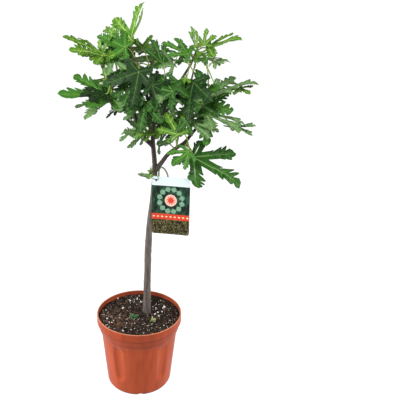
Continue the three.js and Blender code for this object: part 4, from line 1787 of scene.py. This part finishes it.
# Nearly all the numbers in the leaves' rows were found by a fitting program and rounded, and weren't
# set by hand.
# A row's tone follows how bright its leaf looks: brighter greens are painted light on lit leaves, and darker
# ones are painted shade inside the crown.
SHOOTS = [
    Shoot("foliage_top_left", [[13, 6, 742], [-6, 0, 777], [-18, -3, 806]], [
        [1, [-18, -8, 823], 56, 58, 83, -26, -0.77, 7, 4, B],
        [0.5, [-73, -31, 793], -179, 28, 84, -14, 0.36, -19, 1, B],
        [0.7, [-29, -16, 809], 169, 18, 60, -47, 0.3, 19, 2, F],
        [0.05, [-9, -36, 752], -125, -54, 72, -28, -0.24, -17, 3, M],
        [0.38, [-2, -59, 769], -122, -67, 76, -48, 0.8, 17, 4, D],
        [0.67, [-46, 68, 825], -165, 5, 32, -53, 0.2, -17, 5, B],
        [0.27, [-70, -25, 796], -139, -11, 37, -52, 0.32, 6, 6, B],
    ], 3, 60, F, (2,)),
    Shoot("foliage_left", [[-12, -15, 723], [-42, -28, 737], [-66, -36, 746]], [
        [0.9, [-54, -49, 714], -158, 10, 111, -22, -0.43, -8, 0, F],
        [1, [-75, 8, 775], -34, 71, 81, 53, 0.02, 7, 1, B],
        [0.8, [-56, -36, 710], -126, -16, 88, 6, -0.06, 10, 5, G],
        [0.45, [-32, -23, 696], -155, -32, 48, 5, 0.06, -16, 3, D],
        [0.38, [-105, -4, 788], 129, 61, 36, -7, -0.6, -18, 4, B],
        [0.25, [-53, -23, 786], -103, -27, 51, -9, -0.27, 8, 5, G],
        [0.76, [-82, -6, 730], -118, -41, 46, -43, 0.47, 0, 6, M],
        [0.7, [-63, -79, 729], -161, -1, 53, -27, 0.17, -18, 7, K],
    ], 2, 100, D),
    Shoot("foliage_low_left", [[8, -5, 622], [-2, -14, 629]], [
        [1, [6, -30, 636], -136, 13, 53, -74, 0.8, -7, 0, G],
        [0.21, [20, -55, 640], 153, 44, 37, -17, 0.45, 6, 1, B],
        [0.32, [-16, -15, 639], -79, -6, 50, 36, -0.44, -1, 2, G],
    ]),
    Shoot("foliage_front", [[28, 0, 655], [34, -22, 684], [36, -36, 708]], [
        [1, [66, -56, 730], 165, 7, 78, -42, 0.64, 2, 0, M],
        [0.6, [10, -50, 706], -102, -51, 64, -28, -0.6, 3, 1, M],
        [0.4, [61, -18, 717], -60, -62, 53, 24, -0.32, -5, 2, G],
        [0.58, [26, -53, 669], 114, 58, 67, 34, 0.51, 1, 3, D],
        [0.86, [24, -51, 742], -3, -33, 60, 46, 0.47, 4, 4, D],
        [0.83, [31, -42, 725], -36, -10, 66, -10, 0.41, 1, 5, G],
    ], 2, -150, D),
    Shoot("foliage_low_centre", [[74, -10, 592], [78, -26, 606]], [
        [1, [76, -83, 650], 129, 45, 54, -43, 0.15, 4, 0, B],
        [0.4, [40, -56, 619], -21, 60, 56, 30, 0.26, 3, 1, D],
        [0.82, [92, -76, 677], -40, -60, 34, 8, 0.8, 16, 2, M],
    ], 1, 200, M),
    Shoot("foliage_low_right", [[94, -17, 613], [104, -36, 606]], [
        [1, [112, -32, 586], -33, -21, 121, 16, -0.31, 3, 2, M],
        [0.35, [98, -92, 617], -136, -21, 51, -39, 0.67, -9, 1, F],
    ], 1, 110, M),
    Shoot("foliage_right", [[133, -24, 667], [141, -26, 686], [142, -28, 704]], [
        [1, [141, -43, 719], -12, 19, 102, 2, -0.3, 8, 0, G],
        [0.7, [137, -36, 680], -54, -7, 99, -1, 0.11, -13, 3, G],
        [0.2, [101, -56, 669], -6, -16, 64, 34, 0.69, -18, 2, G],
        [0.5, [108, -35, 746], -106, -50, 86, 28, 0.1, 0, 3, D],
        [0.9, [137, -2, 786], 167, 32, 36, -19, 0.75, -1, 4, F],
        [0.8, [136, 7, 785], -14, -2, 51, 2, 0.27, -4, 5, G],
        [0.95, [126, -50, 703], 99, 48, 85, 14, -0.29, 23, 6, M],
        [0.3, [129, -19, 708], -82, -63, 98, 43, 0.05, 17, 7, F],
        [0.26, [200, -37, 735], -62, -3, 39, 18, -0.22, 4, 8, B],
        [0.34, [199, -9, 647], -55, -4, 57, 1, -0.38, 1, 9, G],
    ], 1, 60, M),
    Shoot("foliage_top_right", [[82, 20, 732], [104, 16, 770], [122, 12, 816]], [
        [0.8, [139, 1, 808], -33, 19, 77, 22, 0.01, 9, 0, B],
        [1, [116, 28, 806], 150, 72, 43, -7, 0, -19, 1, B],
        [0.5, [97, -19, 798], 176, 21, 58, -30, 0.05, -6, 2, F],
        [0.95, [130, -4, 815], 76, 67, 35, -21, 0.8, -5, 3, B],
        [0.69, [148, -36, 788], -63, 3, 34, 21, 0.74, -10, 4, G],
        [0.74, [94, -25, 750], 168, -39, 41, -24, 0.4, 8, 5, B],
        [0.73, [156, 2, 735], -22, -10, 60, 11, -0.05, -15, 6, G],
    ], 2, 70, M),
    Shoot("foliage_top_centre", [[50, 12, 707], [60, 4, 724], [62, -4, 744]], [
        [1, [34, -40, 731], 91, 64, 39, -14, -0.43, 19, 0, K],
        [1, [66, -11, 774], -179, 57, 40, -30, 0.72, 17, 1, G],
        [0.55, [87, 15, 810], 21, -43, 42, 42, 0.8, 16, 2, M],
        [0.22, [74, -27, 745], -131, -52, 58, -54, 0, 4, 3, M],
        [0.29, [47, -1, 774], 135, 53, 57, -16, -0.06, -14, 4, M],
    ]),
    Shoot("foliage_back_left", [[-26, 74, 690], [-44, 98, 722], [-54, 112, 758]], [], 7, 120, M),
    Shoot("foliage_back_right", [[92, 72, 690], [112, 98, 716], [122, 112, 750]], [], 7, 20, M, (2, 3)),
    Shoot("foliage_back_top", [[18, 6, 722], [26, 42, 762], [34, 56, 806]], [
        [0.5, [-9, 40, 764], -155, -28, 83, -51, -0.57, 8, 0, F],
        [0.8, [-31, 30, 791], 150, 16, 67, -47, -0.12, -14, 1, F],
        [0.54, [39, 72, 765], 119, 38, 56, -10, 0.68, 0, 2, G],
        [0.36, [6, 35, 799], 118, 13, 51, -18, -0.36, 16, 3, B],
    ], 5, 80, M, (2,)),
    Shoot("foliage_back_low", [[12, 30, 651], [26, 66, 650], [36, 84, 662]], [
        [1, [41, 112, 657], -160, 0, 98, -27, 0.76, -19, 0, G],
        [0.6, [56, 84, 639], -118, -35, 62, -5, 0.35, 3, 1, B],
        [0.6, [18, 83, 646], -131, -39, 66, -31, 0.41, 8, 2, G],
    ]),
    Shoot("foliage_sprig", [[32, 4, 535], [24, 1, 540]], [
        [1, [19, 6, 527], 172, 10, 25, -3, -0.05, -23, 0, B],
        [0.6, [29, 10, 526], 162, 18, 18, -1, -0.1, -16, 1, B],
        [0.1, [23, -7, 530], 139, 5, 34, -5, -0.6, 5, 2, G],
    ]),
]


@dataclass
class Crown:
    """All stems, stalks and leaves.

    Attributes:
        node_swell, node_reach: how much wider a stem is at a node, and over what reach.
        heel, heel_falloff: how much wider a stalk is at its foot, and how fast that ends.
        stalk_lift, stalk_sink: how far a stalk arches up and runs into the blade, as shares of lengths.
    """

    blade: Blade = field(default_factory=Blade)
    rule: Rule = field(default_factory=Rule)
    stem_foot: float = 3.0
    stem_tip: float = 1.7
    stem_step: float = 1.8
    stem_sides: int = 12
    node_swell: float = 0.22
    node_reach: float = 1.6
    bud_length: float = 11
    bud_radius: float = 2.3
    bud_bend: float = 1.2
    stalk_foot: float = 1.7
    stalk_tip: float = 1.15
    stalk_steps: int = 14
    stalk_sides: int = 8
    heel: float = 0.9
    heel_falloff: float = 22
    stalk_lift: float = 0.16
    stalk_sink: float = 0.05
    full_leaf: float = 60
    least_stalk: float = 0.6

    def materials(self) -> tuple[list[Material], list[Material]]:
        """Finishes of the leaves.

        Returns:
            Those of the upper and those of the lower skins, in the order of the blades' slots.
        """
        upper, lower = [], []
        for tone in Tone:
            outer, inner, under, rib = tone.value
            name = f"leaf_{tone.name.lower()}"
            below = LeafSkin(f"{name}_below", under, 0.68, 0.5).material()
            ribs = LeafSkin(f"{name}_rib", rib, 0.5, 0.1).material()
            upper += [LeafSkin(name, outer).material(), LeafSkin(f"{name}_inner", inner).material(), ribs]
            lower += [below, below, ribs]
        return upper, lower

    def stem(self, spline: Spline, leaves: Leaves) -> Surface:
        """The stem, swollen a little at each node, and its end bud.

        Formula: the stem tapers evenly, times 1 + swell e^(-d^2) at each node. The bud's radius is
        bud_radius times the sum of sin(pi t^0.7)^0.8 (1 - t)^0.3 and 0.45 (1 - t).

        Args:
            spline: its middle.
            leaves: the leaves on it.

        Returns:
            Its surface.
        """
        share = np.linspace(0, 1, max(int(spline.length / self.stem_step), 6))
        radius = self.stem_foot + (self.stem_tip - self.stem_foot) * share
        for place in leaves.place:
            away = (share - place) * spline.length / self.node_reach
            radius = radius * (1 + self.node_swell * np.exp(-(away**2)))
        tip = spline.at(1)[0]
        way = unit(tip - spline.at(0.93)[0])
        t = np.linspace(0, 1, 9)
        swell = self.bud_radius * (np.sin(np.pi * t**0.7) ** 0.8 * (1 - t) ** 0.3 + 0.45 * (1 - t))
        bud = tip + t[:, None] * way * self.bud_length + self.bud_bend * (t**2)[:, None] * heading(60, 0)
        return Surface.joined([
            rod(spline.at(share), radius, self.stem_sides, 0),
            rod(bud, np.maximum(swell, 0.05), self.stem_sides, 1),
        ])

    def stalks(self, spline: Spline, leaves: Leaves) -> Surface:
        """The stalks, each from its node on the stem to a little way into its blade.

        Formula: the radius is tip + (foot - tip) (1 - t)^2 + heel e^(-falloff t).

        Args:
            spline: the stem's middle.
            leaves: the leaves.

        Returns:
            Their surfaces as one.
        """
        along = heading(leaves.turn, leaves.pitch)
        nodes = spline.at(leaves.place)
        reach = np.linalg.norm(leaves.joint - nodes, axis=1)
        middles = (nodes + leaves.joint) / 2 + (self.stalk_lift * reach)[:, None] * np.array([0, 0, 1])
        ends = leaves.joint + along * (self.stalk_sink * leaves.length)[:, None]
        share = np.linspace(0, 1, self.stalk_steps)
        radius = self.stalk_tip + (self.stalk_foot - self.stalk_tip) * (1 - share) ** 2
        radius = radius + self.heel * np.exp(-share * self.heel_falloff)
        rods = []
        for node, middle, joint, end, length in zip(nodes, middles, leaves.joint, ends, leaves.length):
            thin = self.least_stalk + (1 - self.least_stalk) * min(1, length / self.full_leaf)
            rods.append(rod(Spline([node, middle, joint, end]).at(share), radius * thin, self.stalk_sides, 2))
        return Surface.joined(rods)

    def build(self) -> None:
        """Makes the crown, with one piece of leaves and one of wood for each shoot."""
        upper, lower = self.materials()
        young = Mottled("young_wood", "4d4630", "6b6a42", 120, 0.7, 0.3, (1, 1, 0.3))
        bud = Mottled("bud_skin", "7f9440", "5f6a34", 300, 0.55, 0.2)
        stalk = Mottled("stalk_skin", "9db45c", "7f9a48", 90, 0.55, 0.2)
        wood = [finish.material() for finish in (young, bud, stalk)]
        for order, shoot in enumerate(SHOOTS):
            leaves = shoot.leaves(self.rule, order)
            spline = Spline(shoot.path)
            short = shoot.name.removeprefix("foliage_")
            top, bottom = self.blade.skins(leaves)
            bottom.slots = bottom.slots + len(upper)
            both = Surface.joined([top, bottom])
            both.piece(f"leaves_{short}", upper + lower, "leaf", [shoot.name])
            twig = Surface.joined([self.stem(spline, leaves), self.stalks(spline, leaves)])
            twig.piece(f"twigs_{short}", wood, "leaf")
            log.info("%s: %d leaves", shoot.name, len(leaves.place))


# ---------- label and tie ----------


@dataclass
class Label:
    """The plant label: a stiff card with rounded corners and a punched hole.

    Attributes:
        turn, tilt, lean: degrees that it is turned about the upright, about the way that it faces,
            and forwards at its foot.
        hole_in: where the hole's middle lies from the left and upper edges.
    """

    width: float = 85
    height: float = 132
    thickness: float = 1
    corner: float = 5
    top_left: Triple = (27.1, -4.2, 532.5)
    turn: float = -14
    tilt: float = 1
    lean: float = 4
    hole_radius: float = 3
    hole_in: Pair = (10, 8.5)
    bow: float = 1.2
    rays: int = 240
    rings: int = 26
    steps: int = 60

    def place(self, across: np.ndarray, down: np.ndarray, out: np.ndarray) -> np.ndarray:
        """Turns places on the card into places on the plant.

        Formula: the card is bowed as 4 t (1 - t) across, and then turned three times: it leans, it
        tilts and it turns about the upright.

        Args:
            across: distance from the card's left edge.
            down: distance from its upper edge.
            out: distance from its back towards the side that it faces.

        Returns:
            The places, with three numbers along the last axis.
        """
        tilt, turn, lean = (math.radians(a) for a in (-self.tilt, self.turn, self.lean))
        share = across / self.width
        bowed = out - self.bow * (4 * share * (1 - share) - 0.5)
        front = bowed * math.cos(lean) + down * math.sin(lean)
        fall = down * math.cos(lean) - bowed * math.sin(lean)
        right = across * math.cos(tilt) - fall * math.sin(tilt)
        z = -across * math.sin(tilt) - fall * math.cos(tilt)
        x = right * math.cos(turn) + front * math.sin(turn)
        y = right * math.sin(turn) - front * math.cos(turn)
        return np.stack([x, y, z], -1) + np.array(self.top_left)

    def edge(self, angle: np.ndarray) -> np.ndarray:
        """Distance from the hole's middle to the card's edge.

        Formula: rays that start at the hole are marched outwards by the distance to the rounded
        rectangle, which is length(max(q, 0)) + min(max(q), 0) - corner.

        Args:
            angle: angle of each ray.

        Returns:
            The distance along each ray.
        """
        half = np.array([self.width / 2, self.height / 2])
        start = np.array(self.hole_in) - half
        way = np.stack([np.cos(angle), np.sin(angle)], -1)
        reach = np.zeros_like(angle)
        for _ in range(self.steps):
            q = np.abs(start + way * reach[:, None]) - (half - self.corner)
            outside = np.linalg.norm(np.maximum(q, 0), axis=1) + np.minimum(q.max(1), 0) - self.corner
            reach = reach - outside
        return reach

    def build(self) -> None:
        """Makes the card as one closed band from the hole's wall over the front, edge and back."""
        angle = circle(self.rays)
        share = np.linspace(0, 1, self.rings)[:, None]
        reach = self.hole_radius + (self.edge(angle)[None] - self.hole_radius) * share
        across = self.hole_in[0] + reach * np.cos(angle)
        down = self.hole_in[1] + reach * np.sin(angle)
        front = self.place(across, down, np.full_like(across, self.thickness))
        back = self.place(across, down, np.zeros_like(across))
        plan = np.stack([across / self.width, down / self.height], -1)
        card = Surface.joined([
            Surface.sheets(front, 0, wrap=True, plan=plan),
            Surface.sheets(np.stack([front[-1], back[-1]]), 1, wrap=True, plan=plan[[-1, -1]]),
            Surface.sheets(back[::-1], 1, wrap=True, plan=plan[::-1]),
            Surface.sheets(np.stack([back[0], front[0]]), 1, wrap=True, plan=plan[[0, 0]]),
        ])
        board = Mottled("label_board", "eef3f2", "e8efee", 25, 0.4, 0.03)
        card.piece("label_card", [Print().material(), board.material()], "label", ["label"], smooth=False)


@dataclass
class Tie:
    """The tie: a wire ring round the trunk, a link through the label's hole and a bent tail of soft tube.

    Attributes:
        tail, curl: what the tube and the spare wire run through.
        sway: how far a ring sways out of its plane, as a share of its radius.
    """

    centre: Triple = (33, 1.7, 527)
    ring_radius: float = 9.6
    link_centre: Triple = (36.9, -5.9, 529.3)
    link_radius: float = 5.6
    link_turn: float = -55
    wire_radius: float = 0.7
    wire_sides: int = 10
    tube_radius: float = 1.9
    tube_sides: int = 14
    sway: float = 0.08
    ring_steps: int = 48
    steps: int = 40
    tail: tuple[Triple, ...] = (
        (42.2, 0.5, 527), (41.8, 1.2, 540), (43.4, 0, 548), (46.9, -2, 551.8), (51.8, -4, 550.5),
        (57.1, -5, 544), (61.2, -4, 533.8), (62.5, -1, 522),
    )
    curl: tuple[Triple, ...] = (
        (24.2, 5, 530), (22.5, 5, 537), (25, 1, 543), (29.5, -2.5, 544), (31.5, -5, 548), (30, -6, 552),
        (26.8, -3, 554), (23.6, 0, 550.5), (23.4, 1, 545),
    )

    def hoop(self, centre: Triple, radius: float, first: np.ndarray, second: np.ndarray) -> Surface:
        """A closed ring of wire that sways a little out of its plane.

        Formula: centre + radius (cos(angle) first + sin(angle) second), with a circle of the wire's
        own radius round each point.

        Args:
            centre: its middle.
            radius: its radius.
            first: one direction in its plane.
            second: the other.

        Returns:
            Its surface.
        """
        angle = circle(self.ring_steps)[:, None]
        around = circle(self.wire_sides)[None, :, None]
        up = np.cross(first, second)
        out = np.cos(angle) * first + np.sin(angle) * second
        middle = np.array(centre) + radius * out + self.sway * radius * np.sin(2 * angle + 0.6) * up
        loop = middle[:, None] + self.wire_radius * (np.cos(around) * out[:, None] + np.sin(around) * up)
        return Surface.sheets(np.concatenate([loop, loop[:1]]), wrap=True, flip=True).welded()

    def build(self) -> None:
        """Makes the ring, the link, the tail and the curl of spare wire."""
        east, north, up = np.eye(3)
        ring = self.hoop(self.centre, self.ring_radius, east, north)
        link = self.hoop(self.link_centre, self.link_radius, heading(self.link_turn, 0), up)
        share = np.linspace(0, 1, self.steps)
        ends = np.minimum(1, 0.55 + 9 * np.minimum(share, 1 - share))
        tail = rod(Spline(self.tail).at(share), self.tube_radius * ends, self.tube_sides, 1)
        curl = rod(Spline(self.curl).at(share), np.full(self.steps, self.wire_radius), self.wire_sides)
        wire = Mottled("tie_wire", "2c322b", "4c5546", 150, 0.5, 0.1)
        soft = Mottled("tie_tube", "55604d", "7c876f", 150, 0.6, 0.1)
        whole = Surface.joined([ring, link, tail, curl])
        whole.piece("tie_wire", [wire.material(), soft.material()], "tie", ["label_tie"])


# ---------- studio ----------


@dataclass(frozen=True)
class Lamp:
    """A soft box: where it hangs and what it points at, in metres, its two sides, and its power in watts."""

    name: str
    spot: Triple
    aim: Triple
    size: Pair
    power: float

    def build(self) -> None:
        """Hangs the lamp."""
        data = bpy.data.lights.new(self.name, "AREA")
        data.shape = "RECTANGLE"
        data.size, data.size_y = self.size
        data.energy = self.power
        thing = in_scene(self.name, data)
        away = Vector(self.spot) - Vector(self.aim)
        thing.location = self.spot
        thing.rotation_mode = "QUATERNION"
        thing.rotation_quaternion = away.to_track_quat("Z", "Y")


@dataclass
class Studio:
    """Camera, floor and lights, in metres.

    Attributes:
        yaw, pitch, roll: degrees that the camera is turned to the right, down and clockwise.
        paper: the floor's two greys.
        seen, unseen: colour of its glow to the camera, and to all else.
    """

    stand: Triple = (0, -1.3, 1.012)
    yaw: float = 5.903
    pitch: float = 22.365
    roll: float = 2.33
    lens: float = 56.93
    sensor: float = 36
    clip: Pair = (0.05, 100)
    floor_reach: float = 30
    floor_glow: float = 1.0
    paper: tuple[Colour, Colour] = ("7c7c7c", "787878")
    seen: Colour = "ffffff"
    unseen: Colour = "a4a4a4"
    sky_level: float = 0.22
    lamps: tuple[Lamp, ...] = (
        Lamp("left_box", (-1.5, 0.1, 0.7), (0, 0, 0.35), (1.0, 1.6), 34),
        Lamp("right_box", (1.5, 0.0, 0.7), (0, 0, 0.35), (1.0, 1.6), 32),
        Lamp("top_box", (-0.6, -1.4, 1.8), (0, 0, 0.6), (0.6, 0.6), 34),
    )

    def camera(self) -> None:
        """Sets the camera up."""
        yaw, pitch, roll = (math.radians(a) for a in (self.yaw, self.pitch, self.roll))
        level = np.array([math.cos(yaw), -math.sin(yaw), 0])
        flat = np.array([math.sin(yaw), math.cos(yaw), 0])
        ahead = flat * math.cos(pitch) - np.array([0, 0, math.sin(pitch)])
        above = np.cross(level, ahead)
        right = level * math.cos(roll) + above * math.sin(roll)
        up = above * math.cos(roll) - level * math.sin(roll)
        data = bpy.data.cameras.new("camera")
        data.lens, data.sensor_width = self.lens, self.sensor
        data.clip_start, data.clip_end = self.clip
        camera = in_scene("camera", data)
        rows = np.column_stack([right, up, -ahead])
        camera.matrix_world = Matrix.Translation(self.stand) @ Matrix(rows.tolist()).to_4x4()
        bpy.context.scene.camera = camera

    def floor(self) -> None:
        """Lays a plain pale floor."""
        mesh = bpy.data.meshes.new("floor")
        reach = self.floor_reach
        corners = [(-reach, -reach, 0), (reach, -reach, 0), (reach, reach, 0), (-reach, reach, 0)]
        mesh.from_pydata(corners, [], [(0, 1, 2, 3)])
        paper = Shader("floor_paper")
        grey = paper.blend(paper.noise(Noise(3)), *self.paper)
        rays = paper.add("ShaderNodeLightPath", output="Is Camera Ray")
        glow = paper.blend(rays, self.unseen, self.seen)
        lit = {"Emission_Color": glow, "Emission_Strength": self.floor_glow}
        mesh.materials.append(paper.done(Base_Color=grey, Roughness=1.0, Specular_IOR_Level=0.0, **lit))
        in_scene("floor", mesh)

    def sky(self) -> None:
        """Fills the room with soft light, in front of a white wall."""
        world = bpy.data.worlds.new("studio")
        world.use_nodes = True
        tree = world.node_tree
        back = tree.nodes["Background"]
        back.inputs["Color"].default_value = paint(self.seen)
        rays, level = tree.nodes.new("ShaderNodeLightPath"), tree.nodes.new("ShaderNodeMapRange")
        level.inputs["To Min"].default_value = self.sky_level
        tree.links.new(rays.outputs["Is Camera Ray"], level.inputs["Value"])
        tree.links.new(level.outputs["Result"], back.inputs["Strength"])
        bpy.context.scene.world = world
        bpy.context.scene.view_settings.view_transform = "Standard"

    def build(self) -> None:
        """Sets up the whole studio."""
        self.camera()
        self.floor()
        self.sky()
        for lamp in self.lamps:
            lamp.build()


def main() -> None:
    """Builds the plant piece by piece, in its studio."""
    logging.basicConfig(level=logging.INFO, format="%(name)s: %(message)s")
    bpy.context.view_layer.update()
    Studio().build()
    Pot().build()
    Filling().build()
    bark = Bark().material()
    for limb in LIMBS:
        limb.build(bark)
    Crown().build()
    Label().build()
    Tie().build()


if __name__ == "__main__":
    main()
